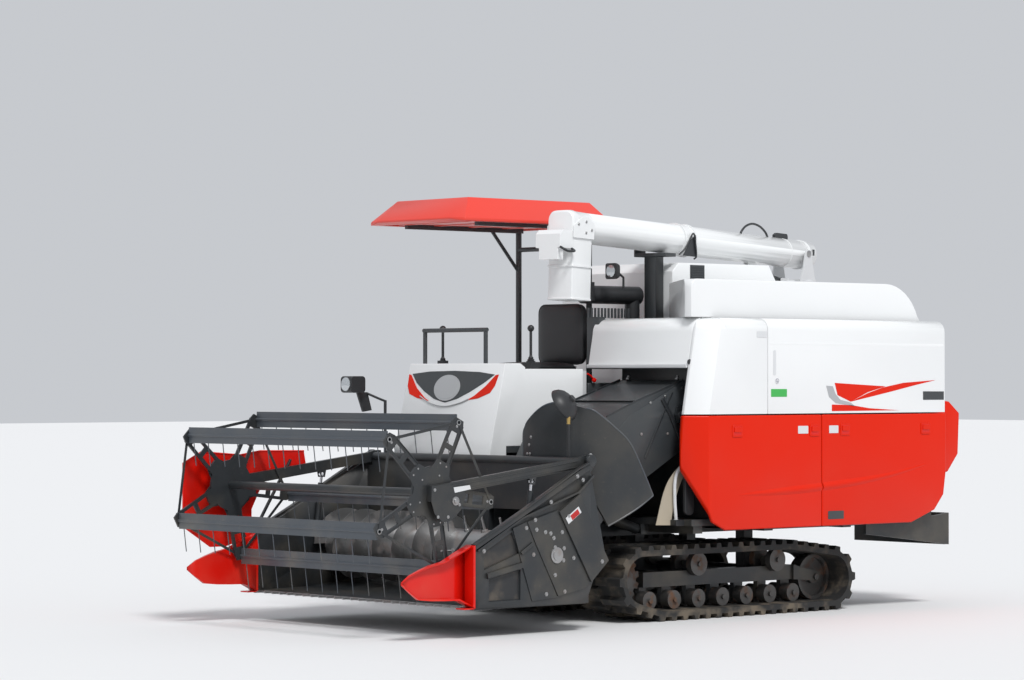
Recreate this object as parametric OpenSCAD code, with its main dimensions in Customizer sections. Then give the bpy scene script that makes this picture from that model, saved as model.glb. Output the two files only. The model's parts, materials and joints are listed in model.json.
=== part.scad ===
// Tracked rice combine harvester, full-feed type with a two metre header.
// Millimetres. +X forward, +Y to the machine's left, +Z up. The ground is z = 0,
// and the origin is under the middle of the whole machine.

/* [Tracks] */
// Distance between the middles of the two tracks
track_gauge = 1150; // [1100:10:1200]
// Width of one track
track_w = 450; // [400:10:480]
// Thickness of the rubber belt
belt_t = 35; // [30:1:40]
// Height of a tread lug
lug_h = 28; // [22:1:34]
// Distance from one lug to the next
lug_pitch = 100; // [90:1:120]
// Radius of the drive sprocket's tooth tips
sprocket_r = 150; // [145:1:155]
// Drive sprocket's place along the machine
sprocket_x = 350; // [340:5:370]
// Radius of the rear idler
idler_r = 150; // [145:1:152]
// Rear idler's place along the machine
idler_x = -1380; // [-1400:5:-1370]
// Radius of a track roller
roller_r = 60; // [55:1:62]
// Number of track rollers on each side
roller_n = 7; // [6:1:7]
// Foremost track roller's place along the machine
roller_front_x = 180; // [170:5:190]
// Radius of a carrier roller under the top run
carrier_r = 75; // [70:1:78]

/* [Chassis] */
// Top of the main deck above the ground
deck_z = 640; // [620:5:660]
// Thickness of the main deck
deck_t = 40; // [30:1:50]
// Height of the two main rails
rail_h = 80; // [70:5:90]

/* [Thresher body] */
// Outer face of the left side covers
flank_y = 1007; // [995:1:1015]
// Thickness of a side cover
cover_t = 28; // [20:1:32]
// Height of the seam between the lower and the upper covers
seam_z = 1295; // [1280:5:1310]
// Top of the thresher body
body_top_z = 1905; // [1890:1:1915]
// Rear of the side covers
flank_rear_x = -2270; // [-2290:5:-2250]
// Front of the thresher body behind the feeder house
body_front_x = -160; // [-180:5:-150]
// Top of the thresher's hump cover
hump_z = 2160; // [2130:5:2190]

/* [Grain tank] */
// Front wall of the tank
tank_front_x = -640; // [-660:5:-620]
// Top of the tank above the ground
tank_z = 2300; // [2280:5:2310]
// Thickness of the tank walls
tank_t = 12; // [8:1:16]

/* [Operator's place] */
// Top of the operator's floor
floor_z = 1100; // [1090:5:1110]
// Top of the front console
console_z = 1625; // [1600:5:1640]
// Right-hand edge of the operator's place
right_y = -1040; // [-1050:5:-1020]

/* [Header] */
// Height of the feeder house's pivot
feeder_pivot_z = 1300; // [1290:5:1310]
// Clear width between the header's side plates
header_w = 2070; // [2000:5:2090]
// Thickness of a header side plate
header_side_t = 28; // [24:1:32]
// Rear wall of the header
header_rear_x = 1070; // [1065:1:1080]
// Header floor above the ground
header_floor_z = 190; // [180:5:200]

/* [Header auger] */
// Outer radius of the auger's flights
flight_r = 225; // [210:5:235]
// Radius of the auger's drum
drum_r = 130; // [110:5:150]

/* [Reel] */
// Radius from the shaft to the middle of a slat
reel_r = 455; // [440:5:465]
// Number of slats
slat_n = 5; // [4:1:6]
// Height of a slat
slat_h = 98; // [60:1:105]
// Length of a tine below its slat
tine_len = 140; // [120:5:160]
// Distance between tines
tine_pitch = 150; // [120:5:180]

/* [Unloading auger] */
// Radius of the unloading tube
tube_r = 100; // [92:1:105]
// Length from the tower to the spout's front wall
tube_len = 2690; // [2650:10:2710]
// How steeply the parked tube rises towards its spout
tube_rise = 2.2; // [1.8:0.1:2.4]
// Tower's place along the machine
tower_x = -2230; // [-2240:5:-2220]
// Tower's place across the machine
tower_y = -370; // [-380:5:-360]
// Height of the tube's lifting pivot
tube_pivot_z = 2405; // [2400:1:2415]
// Parked direction of the tube, from straight ahead towards the left
park_turn = 10; // [9:1:11]

/* [Hidden] */
$fn = 48;
seat_gap = 0.3;
// The machine is drawn from the feeder house's pivot, and moved to its own middle
middle_x = 80;
module from_middle() {
    translate([-middle_x, 0, 0]) children();
}

// A box from its two corners
module box(x, y, z) {
    translate([x[0], y[0], z[0]]) cube([x[1] - x[0], y[1] - y[0], z[1] - z[0]]);
}
// An outline seen from the side, given as [x, z], between two y values
module side_plate(points, y) {
    translate([0, y[1], 0]) rotate([90, 0, 0]) linear_extrude(y[1] - y[0]) polygon(points);
}
// An outline seen from the front, given as [y, z], between two x values
module front_plate(points, x) {
    translate([x[0], 0, 0]) rotate([90, 0, 90]) linear_extrude(x[1] - x[0]) polygon(points);
}
// An outline seen from above, given as [x, y], between two z values
module top_plate(points, z) {
    translate([0, 0, z[0]]) linear_extrude(z[1] - z[0]) polygon(points);
}
// A round bar between two points
module bar(a, b, r) {
    d = b - a;
    translate(a) rotate([0, acos(d[2] / norm(d)), atan2(d[1], d[0])]) cylinder(h = norm(d), r = r);
}
// A round bar across the machine at [x, z]
module cross_bar(p, r, y) {
    translate([p[0], y[1], p[1]]) rotate([90, 0, 0]) cylinder(h = y[1] - y[0], r = r);
}
// Both sides of the machine
module both() {
    children();
    mirror([0, 1, 0]) children();
}
function arc(c, r, a0, a1, n) = [for (i = [0:n]) let (a = a0 + (a1 - a0) * i / n)
    [c[0] + r * cos(a), c[1] + r * sin(a)]];
function reversed(list) = [for (i = [len(list) - 1:-1:0]) list[i]];

// Tracks: the belt's inner path round its wheels, [x, z, radius] going from the
// sprocket over the top to the idler and back along the ground
track_y = track_gauge / 2;
ground_in = belt_t + lug_h;
top_in = 415;
sprocket_z = top_in - sprocket_r;
idler_z = ground_in + idler_r;
roller_z = ground_in + roller_r;
carrier_z = top_in - carrier_r;
roller_back_x = idler_x + idler_r + roller_r + 40;
roller_step = (roller_front_x - roller_back_x) / (roller_n - 1);
carrier_xs = [-260, -985];
wheels = [[sprocket_x, sprocket_z, sprocket_r], [carrier_xs[1], carrier_z, carrier_r],
    [idler_x, idler_z, idler_r], [roller_front_x, roller_z, roller_r]];
wheel_n = len(wheels);
function way(i) = let (a = wheels[i % wheel_n], b = wheels[(i + 1) % wheel_n])
    [b[0] - a[0], b[1] - a[1], a[2] - b[2]];
// Angle of the outward normal on the straight run from wheel i to the next
function run_angle(i) = let (w = way((i + wheel_n) % wheel_n))
    atan2(w[1], w[0]) - acos(w[2] / norm([w[0], w[1]]));
function run_length(i) = let (w = way(i)) sqrt(w[0] * w[0] + w[1] * w[1] - w[2] * w[2]);
function turn(i) = let (t = run_angle(i) - run_angle(i - 1)) t < 0 ? t + 360 : t > 360 ? t - 360 : t;
function arc_length(i) = wheels[i][2] * turn(i) * PI / 180;
function leg_length(i) = arc_length(i) + run_length(i);
path_length = leg_length(0) + leg_length(1) + leg_length(2) + leg_length(3);
// The point at distance s along the path, moved outwards by off
function on_path(s, off, i = 0) = s > leg_length(i) && i < wheel_n - 1
    ? on_path(s - leg_length(i), off, i + 1)
    : let (w = wheels[i], on_arc = min(s, arc_length(i)), rest = s - on_arc,
        a = run_angle(i - 1) + on_arc / w[2] * 180 / PI)
        [w[0] + (w[2] + off) * cos(a) - rest * sin(a), w[1] + (w[2] + off) * sin(a) + rest * cos(a)];
lug_n = round(path_length / lug_pitch);
pitch = path_length / lug_n;
// One half of the tread: base and tip widths of a lug along the belt
function tread(shift) = [for (i = [0:lug_n - 1]) let (s = (i + shift) * pitch)
    each [for (p = [[0.14, belt_t], [0.22, ground_in], [0.54, ground_in], [0.62, belt_t]])
        on_path((s + p[0] * pitch) % path_length, p[1])]];
inner_path = [for (i = [0:wheel_n - 1]) each let (w = wheels[i], n = ceil(turn(i) / 12))
    arc([w[0], w[1]], w[2], run_angle(i - 1), run_angle(i - 1) + turn(i), n)];
module track(side) {
    color("#26282a") from_middle()
    for (half = [0, 1])
        translate([0, side * track_y + half * track_w / 2, 0]) rotate([90, 0, 0])
            linear_extrude(track_w / 2) difference() {
                polygon(tread(half / 2));
                polygon(inner_path);
            }
}
roller_clear = 1;
gear_half = 45;
frame_web = 18;
beam_half = 46;
beam_z = [205, 300];
module spool_pair(x, z, r, inner) {
    for (s = [-1, 1])
        cross_bar([x, z], r - roller_clear, s > 0 ? [inner, 95] : [-95, -inner]);
    cross_bar([x, z], 16, [-110, 110]);
}
module track_frame(side) {
    color("#3a3d40") from_middle() translate([0, side * track_y, 0]) difference() {
        union() {
            box([idler_x + idler_r + 40, roller_front_x + 10], [-beam_half, beam_half], beam_z);
            for (i = [0:roller_n - 1])
                box([roller_back_x + i * roller_step - 40,
                    roller_back_x + i * roller_step + (i == roller_n - 1 ? 21 : 40)],
                    [-frame_web, frame_web], [roller_z - 24, beam_z[0]]);
            for (x = carrier_xs)
                box([x - 40, x + 40], [-frame_web, frame_web], [beam_z[1], carrier_z + 24]);
            for (y = [-1, 1])
                side_plate([[idler_x - 40, idler_z - 30], [idler_x + idler_r + 60, beam_z[0]],
                    [idler_x + idler_r + 60, beam_z[1]], [idler_x - 40, idler_z + 30]],
                    y > 0 ? [beam_half + 5, beam_half + 17] : [-beam_half - 17, -beam_half - 5]);
            box([idler_x + idler_r + 40, idler_x + idler_r + 60], [-beam_half - 17, beam_half + 17],
                beam_z);
        }
        for (i = [0:roller_n - 1])
            cross_bar([roller_back_x + i * roller_step, roller_z], 16 + seat_gap, [-60, 60]);
        for (x = carrier_xs)
            cross_bar([x, carrier_z], 16 + seat_gap, [-60, 60]);
        cross_bar([idler_x, idler_z], 20 + seat_gap, [-80, 80]);
    }
}
tooth_n = 12;
function sprocket_outline(r) = [for (i = [0:tooth_n - 1]) each [for (t = [[0, r - 26], [0.3, r - 26],
    [0.42, r], [0.88, r]]) let (a = 360 / tooth_n * (i + t[0])) [t[1] * cos(a), t[1] * sin(a)]]];
module running_gear(side) {
    color("#55585a") from_middle() translate([0, side * track_y, 0]) {
        for (i = [0:roller_n - 1])
            spool_pair(roller_back_x + i * roller_step, roller_z, roller_r, frame_web + 4);
        for (x = carrier_xs)
            spool_pair(x, carrier_z, carrier_r, beam_half + 5);
        difference() {
            cross_bar([idler_x, idler_z], idler_r - roller_clear, [-gear_half, gear_half]);
            for (s = [-1, 1])
                translate([idler_x, 0, idler_z]) rotate([90, 0, 0]) translate([0, 0, s > 0 ? 15 : -60])
                    difference() {
                        cylinder(h = 45, r = idler_r - 24);
                        translate([0, 0, -1]) cylinder(h = 47, r = 45);
                    }
        }
        cross_bar([idler_x, idler_z], 20, [-75, 75]);
        translate([sprocket_x, 0, sprocket_z]) rotate([90, 0, 0]) {
            translate([0, 0, -20]) linear_extrude(40) polygon(sprocket_outline(sprocket_r - roller_clear));
            translate([0, 0, -gear_half]) cylinder(h = 2 * gear_half, r = 70);
        }
    }
}

// Chassis
rail_z = [deck_z - deck_t - rail_h, deck_z - deck_t];
rail_y = [230, 310];
rail_x = [flank_rear_x + 60, 560];
eye_y = [262, 278];
eye_r = 14;
// Rams as [base pin, rod eye], each seen from the side as [x, z]
header_ram = [[62, 560], [560, 720]];
ram_y = 450;
deck_y = [-1000, 925];
axle_xs = [-1080, -80];
case_x = [sprocket_x - 130, sprocket_x + 130];
module chassis_frame() {
    color("#2e3134") from_middle() {
        both() box(rail_x, rail_y, rail_z);
        for (x = [flank_rear_x + 60, -1440, -700, 0, 480])
            box([x, x + 80], [-rail_y[0], rail_y[0]], rail_z);
        both() for (x = [rail_x[1], rail_x[0]])
            difference() {
                box(x > 0 ? [x - 30, x + 48] : [x - 48, x + 30], eye_y, [rail_z[0], rail_z[0] + 55]);
                cross_bar([x + (x > 0 ? 22 : -22), rail_z[0] + 27], eye_r, [eye_y[0] - 1, eye_y[1] + 1]);
            }
        box([130, 200], [-rail_y[0], 75], [rail_z[0] + 30, rail_z[1]]);
    }
}
module deck_beams() {
    color("#2e3134") from_middle() {
        for (x = [flank_rear_x + 60, -1440, -700, -60])
            both() box([x, x + 80], [rail_y[1], 900], [rail_z[0] + 30, rail_z[1]]);
        box([130, 200], [-1000, -rail_y[1]], [rail_z[0] + 30, rail_z[1]]);
    }
}
module main_deck() {
    color("#2e3134") from_middle() box([flank_rear_x + 60, 60], deck_y, [rail_z[1], deck_z]);
}
module axle_beams() {
    color("#2e3134") from_middle() for (x = axle_xs) {
        cross_bar([x, 252], 42, [-track_y + beam_half, track_y - beam_half]);
        both() box([x - 40, x + 40], rail_y, [252, rail_z[0]]);
    }
}
module transmission() {
    color("#3a3d40") from_middle() {
        box(case_x, [-rail_y[0], rail_y[0]], [170, rail_z[1] - 20]);
        both() cross_bar([sprocket_x, sprocket_z], 88, [rail_y[0] - 1, track_y - gear_half]);
    }
}
module header_ram_mount() {
    color("#2e3134") from_middle() {
        for (y = [ram_y - 44, ram_y + 36])
            side_plate([[21, rail_z[1]], [90, rail_z[1]], [84, 535], [36, 535], [21, 552]], [y, y + 8]);
        cross_bar(header_ram[0], header_ram_size[2], [ram_y - 44, ram_y + 44]);
    }
}

// Thresher body and its covers
body_y = [60, 925];
body_rear_x = flank_rear_x + 70;
hinge_x = flank_rear_x + 20;
hinge_y = flank_y - cover_t - 12;
door_x = [hinge_x - 6, -548];
door_z = [seam_z + 8, body_top_z + 9];
knuckle_zs = [1400, 1780];
module thresher_body() {
    color("#3c3f42") from_middle() difference() {
        union() {
            side_plate([[body_front_x, deck_z], [body_front_x, body_top_z], [body_rear_x, body_top_z],
                [body_rear_x, deck_z]], body_y);
            for (z = knuckle_zs) {
                translate([hinge_x, hinge_y, z]) cylinder(h = 40, r = 11);
                box([hinge_x - 4, hinge_x + 8], [body_y[1] - 10, hinge_y - 2], [z, z + 40]);
                box([hinge_x - 4, body_rear_x + 30], [body_y[1] - 10, body_y[1] + 4], [z, z + 40]);
            }
            box([body_front_x - 80, body_front_x + 40], [body_y[1] - 30, flank_y - cover_t],
                [seam_z - 30, seam_z]);
            for (y = [feeder_y[0] - 22, feeder_y[1] + 6])
                side_plate([[body_front_x - 1, feeder_pivot_z - 110], [30, feeder_pivot_z - 50],
                    [45, feeder_pivot_z], [30, feeder_pivot_z + 50], [body_front_x - 1, feeder_pivot_z + 110]],
                    [y, y + 16]);
            for (x = [-500, -1100, -2080])
                box([x, x + 60], [body_y[1] - 30, flank_y - cover_t], [seam_z - 200, seam_z - 140]);
            for (x = [-300, -1000, -1900])
                box([x, x + 60], [body_y[1] - 30, flank_y - cover_t], [deck_z + 10, deck_z + 50]);
        }
        for (z = knuckle_zs)
            translate([hinge_x, hinge_y, z - 10]) cylinder(h = 60, r = 6 + seat_gap);
        cross_bar([0, feeder_pivot_z], pivot_r + seat_gap, [0, 900]);
        box([body_rear_x - 1, body_rear_x + 320], [body_y[0] + 60, body_y[1] - 60], [deck_z + 90, 1330]);
    }
}
hump_y = [90, 890];
hump_h = hump_z - body_top_z;
// Its front face slants back towards the right, which lets the unloading spout past
module thresher_hump() {
    color("#f2f3f3") from_middle() intersection() {
        side_plate(concat([[body_front_x, body_top_z], [body_front_x, body_top_z + 12],
            [24, body_top_z + 12], [24, hump_z - 54]],
            arc([-30, hump_z - 54], 54, 0, 90, 5),
            arc([-1800, hump_z - 4 / 3 * hump_h], 4 / 3 * hump_h, 90, 158, 8),
            [[-2150, body_top_z]]), hump_y);
        top_plate([[25, hump_y[1]], [25, hump_y[1] - 60], [-560, hump_y[0]], [-2160, hump_y[0]],
            [-2160, hump_y[1]]], [body_top_z, hump_z + 1]);
    }
}
// Front corner of the covers: the front edge leans back as it goes up
corner_lean = 0.19;
function corner_x(z) = 110 - (z - seam_z) * corner_lean;
corner_cut = [125, 99];
top_round = 75;
function cover_section(lip_y) = concat([[flank_y, seam_z + 8], [flank_y, body_top_z + 9 - top_round]],
    arc([flank_y - top_round, body_top_z + 9 - top_round], top_round, 0, 90, 6),
    [[lip_y, body_top_z + 9], [lip_y, body_top_z + 9 - cover_t]],
    arc([flank_y - top_round, body_top_z + 9 - top_round], top_round - cover_t, 90, 0, 6),
    [[flank_y - cover_t, seam_z + 8]]);
// The covers' corner seen from above at height z, moved inwards by d
function corner_slice(z, d) = [[body_front_x - 1, 850], [body_front_x - 1, flank_y - d],
    [corner_x(z) - corner_cut[0] - 0.348 * d, flank_y - d],
    [corner_x(z) - 0.621 * d, flank_y - corner_cut[1] - 0.784 * d], [corner_x(z) - 0.621 * d, 850]];
module corner_block(low, high, round_r, d) {
    hull() for (a = [-90, 0, 30, 60, 90])
        let (z = a < 0 ? low : high - round_r + round_r * sin(a) - (a > 0 ? 0.1 : 0))
            translate([0, 0, z]) linear_extrude(0.1)
                polygon(corner_slice(z, d + (a < 0 ? 0 : round_r - round_r * cos(a))));
}
module upper_cover_front() {
    color("#f2f3f3") from_middle() {
        front_plate(cover_section(body_y[1]), [door_x[1] + 8, body_front_x]);
        difference() {
            corner_block(seam_z + 8, door_z[1], top_round, 0);
            corner_block(seam_z, door_z[1] - cover_t, top_round - cover_t, cover_t);
            box([-400, 300], [800, hood_y[1] + 2], [seam_z - 9, 2000]);
            box([-400, body_front_x], [800, 1100], [seam_z - 9, 2000]);
        }
    }
}
module side_door() {
    color("#f2f3f3") from_middle() {
        front_plate(cover_section(body_y[1] + 6), door_x);
        for (z = knuckle_zs) {
            translate([hinge_x, hinge_y, z + 40 + seat_gap]) cylinder(h = 30, r = 11);
            box([hinge_x - 5, hinge_x + 40], [hinge_y, flank_y - cover_t + 1],
                [z + 40 + seat_gap, z + 70 + seat_gap]);
            translate([hinge_x, hinge_y, z + 4]) cylinder(h = 60, r = 6);
        }
    }
}
lower_bottom_z = 570;
lower_split_x = -1050;
lower_outline = [[112, seam_z], [130, 981], [-48, 624], [-162, lower_bottom_z],
    [-1923, lower_bottom_z], [-2155, 648], [-2246, 749], [flank_rear_x, 900], [flank_rear_x, seam_z]];
lower_plan = [[130, 892], [-15, flank_y], [flank_rear_x, flank_y], [flank_rear_x, flank_y - cover_t],
    [-26, flank_y - cover_t], [112, 869]];
module lower_cover(x) {
    color("#d92a12") from_middle() intersection() {
        side_plate(lower_outline, [800, flank_y + 1]);
        top_plate(lower_plan, [lower_bottom_z - 1, seam_z + 1]);
        box(x, [800, flank_y + 1], [lower_bottom_z - 1, seam_z + 1]);
    }
}
module lower_cover_front() { lower_cover([lower_split_x + 3, 200]); }
module lower_cover_rear() { lower_cover([flank_rear_x - 1, lower_split_x - 3]); }
module rear_cover() {
    color("#c92410") from_middle() difference() {
        side_plate([[body_rear_x - seat_gap, 1390], [-2398, 1374], [-2503, 1295], [-2489, 1016],
            [-2383, 896], [body_rear_x - seat_gap, 880]], [body_y[0], body_y[1]]);
        side_plate([[body_rear_x + 1, 1362], [-2386, 1346], [-2475, 1280], [-2462, 1028],
            [-2375, 925], [-2375, 870], [body_rear_x + 1, 870]], [body_y[0] + 20, body_y[1] - 20]);
    }
}
module rear_skirt() {
    color("#232527") from_middle() {
        side_plate([[-1560, lower_bottom_z - 30], [-1560, 500], [-2390, 405], [-2390, 620],
            [-2210, deck_z - deck_t], [-1560, deck_z - deck_t]], [905, 925]);
        box([-2390, -2370], [80, 905], [405, 620]);
    }
}
hood_z = 1600;
hood_y = [-45, 884];
module front_hood() {
    color("#f2f3f3") from_middle() difference() {
        side_plate(concat([[body_front_x, hood_z], [corner_x(hood_z), hood_z],
            [corner_x(body_top_z - 90), body_top_z - 90]],
            arc([corner_x(body_top_z - 90) - 96, body_top_z - 84], 96, 4, 90, 6),
            [[body_front_x, body_top_z + 12]]), hood_y);
        side_plate([[body_front_x - 1, hood_z - 1], [corner_x(hood_z) - 26, hood_z - 1],
            [corner_x(body_top_z - 90) - 26, body_top_z - 90], [corner_x(body_top_z) - 90, body_top_z - 16],
            [body_front_x - 1, body_top_z - 16]], [hood_y[0] + 22, hood_y[1] - 22]);
    }
}

// Grain tank on the right, hollow, with a mouth in its lid
tank_y = [right_y, 40];
tank_floor_z = deck_z + 120;
tank_rear_x = tower_x + 330;
tank_slope_x = tower_x + 670;
tank_low_z = tank_z - 140;
mouth_x = [tank_slope_x + 110, tank_slope_x + 560];
mouth_y = [-850, -400];
module grain_tank() {
    color("#eceded") from_middle() difference() {
        side_plate([[tank_front_x, deck_z], [tank_front_x, tank_z - 60], [tank_front_x - 60, tank_z],
            [tank_slope_x, tank_z], [tank_slope_x - 90, tank_low_z], [tank_rear_x, tank_low_z - 40],
            [tank_rear_x, deck_z]], tank_y);
        side_plate([[tank_front_x - tank_t, 1150], [tank_front_x - tank_t, tank_z - 66],
            [tank_front_x - 66, tank_z - tank_t], [tank_slope_x + 10, tank_z - tank_t],
            [tank_slope_x - 82, tank_low_z - tank_t], [tank_rear_x + tank_t, tank_low_z - 40 - tank_t],
            [tank_rear_x + tank_t, 1150], [tank_rear_x + 400, tank_floor_z],
            [tank_rear_x + 550, tank_floor_z]], [tank_y[0] + tank_t, tank_y[1] - tank_t]);
        box(mouth_x, mouth_y, [tank_z - 50, tank_z + 1]);
    }
}

// Engine under the seat and its covers
engine_x = [-560, 60];
engine_top_z = floor_z + 400;
module engine_block() {
    color("#5a5d60") from_middle() box(engine_x, [-880, -180], [deck_z, engine_top_z - 170]);
}
module engine_cover() {
    color("#6b6f72") from_middle() difference() {
        box([engine_x[0] - 70, 130], [right_y + 40, 45], [deck_z, engine_top_z]);
        box([engine_x[0] - 46, 106], [right_y + 20, 21], [deck_z - 1, engine_top_z - 24]);
    }
}
module radiator_screen() {
    color("#2b2d2f") from_middle() difference() {
        box([engine_x[0] - 60, 120], [right_y, right_y + 40 - seat_gap], [deck_z + 40, engine_top_z - 40]);
        for (i = [0:8])
            box([-580, 80], [right_y - 1, right_y + 20], [740 + i * 76, 780 + i * 76]);
    }
}

// Operator's place
console_left_y = 75;
console_right_y = -865;
console_front = [[1010, 1041], [870, console_z]];
module operator_floor() {
    color("#3c4043") from_middle() {
        box([130, 860], [right_y, console_left_y], [floor_z - 40, floor_z]);
        for (y = [-960, -340, 30])
            side_plate([[130, rail_z[1]], [200, rail_z[1]], [620, floor_z - 60], [620, floor_z - 40],
                [130, floor_z - 40]], [y, y + 30]);
        for (z = [700, 880])
            box([560, 760], [right_y, right_y + 240], [z, z + 20]);
        for (y = [right_y, right_y + 220])
            box([560, 600], [y, y + 20], [700, floor_z - 40]);
    }
}
module console() {
    color("#eff0f0") from_middle() difference() {
        union() {
            side_plate([[700, floor_z], [861, floor_z], [861, 1000], [1000, 1000], console_front[0],
                console_front[1], [740, console_z], [700, 1600]], [console_right_y, console_left_y]);
            side_plate([[200, floor_z], [720, floor_z], [720, 1590], [200, 1590]],
                [console_left_y - 200, console_left_y]);
        }
        side_plate([[690, 1030 - 31], [975, 999], [842, console_z - 28], [690, 1575]],
            [console_right_y + 20, console_left_y - 20]);
        side_plate([[199, floor_z - 1], [722, floor_z - 1], [722, 1566], [199, 1566]],
            [console_left_y - 180, console_left_y - 20]);
    }
}
module seat() {
    color("#2a2c2e") from_middle() translate([0, 0, engine_top_z]) {
        hull() {
            box([-20, 400], [-650, -190], [60, 100]);
            box([0, 380], [-630, -210], [40, 140]);
        }
        hull() {
            box([-60, -30], [-640, -200], [120, 500]);
            box([-110, -40], [-620, -220], [140, 520]);
        }
        box([60, 260], [-520, -320], [0, 45]);
        box([-85, 60], [-480, -360], [0, 30]);
        box([-95, -65], [-480, -360], [0, 200]);
    }
}
module handrail() {
    color("#5b6063") from_middle() {
        for (y = [-760, -160])
            bar([830, y, console_z], [830, y, 1840], 14);
        bar([830, -774, 1840], [830, -146, 1840], 14);
    }
}
module control_levers() {
    color("#4a4e51") from_middle() {
        box([760, 810], [-660, -610], [console_z, console_z + 20]);
        bar([785, -635, console_z + 10], [785, -635, 1850], 9);
        translate([785, -635, 1850]) sphere(r = 22);
        box([520, 600], [-70, 10], [1590, 1630]);
        bar([560, -30, 1620], [560, -30, 1850], 9);
        translate([560, -30, 1850]) sphere(r = 22);
    }
}
canopy_x = [-270, 1050];
canopy_y = [-1090, -140];
module canopy() {
    color("#e0392b") from_middle() difference() {
        hull() {
            box([canopy_x[0], canopy_x[1] - 30], [canopy_y[0], canopy_y[1]], [2530, 2550]);
            box([canopy_x[0] + 100, canopy_x[1] - 160], [canopy_y[0] + 120, canopy_y[1] - 120], [2640, 2690]);
            box([canopy_x[1] - 60, canopy_x[1]], [canopy_y[0] + 120, canopy_y[1] - 120], [2545, 2555]);
        }
        box([canopy_x[0] + 34, canopy_x[1] - 74], [canopy_y[0] + 34, canopy_y[1] - 34], [2520, 2542]);
    }
}
post_x = -200;
module canopy_frame() {
    color("#2e3134") from_middle() {
        for (y = [-1000, -300]) {
            bar([post_x, y, engine_top_z], [post_x, y, 2520], 20);
            box([post_x - 30, canopy_x[1] - 260], [y - 15, y + 15], [2512, 2542]);
            bar([post_x, y, 2250], [40, y, 2520], 12);
        }
        bar([post_x, -1000, 2400], [post_x, -300, 2400], 16);
    }
}
intake_y = -170;
intake_z = body_top_z + 175;
module air_intake() {
    color("#2a2c2e") from_middle() {
        bar([tank_front_x + 120, intake_y, intake_z], [-20, intake_y, intake_z], 60);
        bar([tank_front_x + 170, intake_y, intake_z], [tank_front_x + 170, intake_y, engine_top_z], 50);
        translate([-20, intake_y, intake_z - 40]) cylinder(h = 120, r = 80);
    }
}
park_dir = [cos(park_turn), sin(park_turn)];
function along(s, side = 0) = [tower_x + s * park_dir[0] - side * park_dir[1],
    tower_y + s * park_dir[1] + side * park_dir[0]];
holder_s = (tank_front_x + 45 - tower_x) / cos(park_turn);
holder_top = tube_pivot_z + (holder_s - 60) * tan(tube_rise) - tube_r / cos(tube_rise) - 5;
module auger_holder() {
    color("#3d4144") from_middle() {
        p = along(holder_s);
        translate([p[0], p[1], 0]) rotate([0, 0, park_turn]) {
            box([-33, 55], [-48, 48], [engine_top_z, holder_top - 24]);
            box([-60, 60], [-130, 130], [holder_top - 24, holder_top]);
            box([-60, 60], [-130, -118], [holder_top - 1, holder_top + 40]);
        }
    }
}
tower_r = 110;
turret_z = tube_pivot_z - 245;
module auger_tower() {
    color("#e4e6e6") from_middle() {
        translate([tower_x, tower_y, 700]) cylinder(h = turret_z - 720, r = tower_r);
        translate([tower_x, tower_y, turret_z - 60]) cylinder(h = 60, r = tower_r + 30);
        box([tower_x + 70, tank_rear_x - seat_gap], [tower_y - 60, tower_y + 60], [1900, 1960]);
        box([tower_x - 60, tank_rear_x - seat_gap], [tower_y - 60, tower_y + 60], [deck_z, 760]);
    }
}
// Feeder house and header, one body that turns about the feeder's pivot
feeder_y = [150, 750];
pivot_r = 24;
feeder_rear = [[-56, 1518], [-46, 1084]];
mouth_z = [240, 720];
module feeder_house() {
    color("#303335") from_middle() {
        difference() {
            side_plate([feeder_rear[0], [435, 1290], [header_rear_x - 24, mouth_z[1] + 30],
                [header_rear_x - 24, mouth_z[0] - 40], [560, 760], feeder_rear[1]], feeder_y);
            side_plate([[-57, 1480], [420, 1252], [header_rear_x, mouth_z[1]],
                [header_rear_x, mouth_z[0]], [580, 800], [-57, 1120]],
                [feeder_y[0] + 16, feeder_y[1] - 16]);
        }
        cross_bar([0, feeder_pivot_z], pivot_r, [feeder_y[0] - 26, feeder_y[1] + 26]);
        cross_bar([0, feeder_pivot_z], 90, feeder_y);
        for (y = [ram_y - 27, ram_y + 19])
            difference() {
                side_plate([[490, 818], [560, 782], [600, 742], [594, 710], [578, 694], [554, 690],
                    [536, 704]], [y, y + 8]);
                cross_bar(header_ram[1], header_ram_size[2], [y - 1, y + 9]);
            }
    }
}
side_in = header_w / 2;
side_out = side_in + header_side_t;
floor_front_x = 1960;
module header_frame() {
    color("#2f3234") from_middle() difference() {
        union() {
            side_plate([[header_rear_x, header_floor_z - 20], [floor_front_x, header_floor_z - 20],
                [floor_front_x, header_floor_z], [1600, header_floor_z + 6]],
                [-side_in, side_in]);
            side_plate(concat([[floor_front_x, header_floor_z], [1600, header_floor_z]],
                reversed(arc([auger_x, auger_z], flight_r + 30, 180, 275, 8)),
                [[header_rear_x + 20, 1000], [header_rear_x - 24, 1000],
                [header_rear_x - 24, header_floor_z - 20], [floor_front_x, header_floor_z - 20]]),
                [-side_in, side_in]);
            cross_bar([header_rear_x - 2, 1020], 30, [-arm_y[0] + 15, arm_y[0] - 15]);
        }
        box([header_rear_x - 30, auger_x], [feeder_y[0] + 16, feeder_y[1] - 16], mouth_z);
        both() box([header_rear_x - 30, header_rear_x + 40], [arm_y[0] - 8, side_in + 1], [965, 1001]);
    }
}
shaft_r = 22;
auger_x = 1345;
auger_z = 470;
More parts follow.
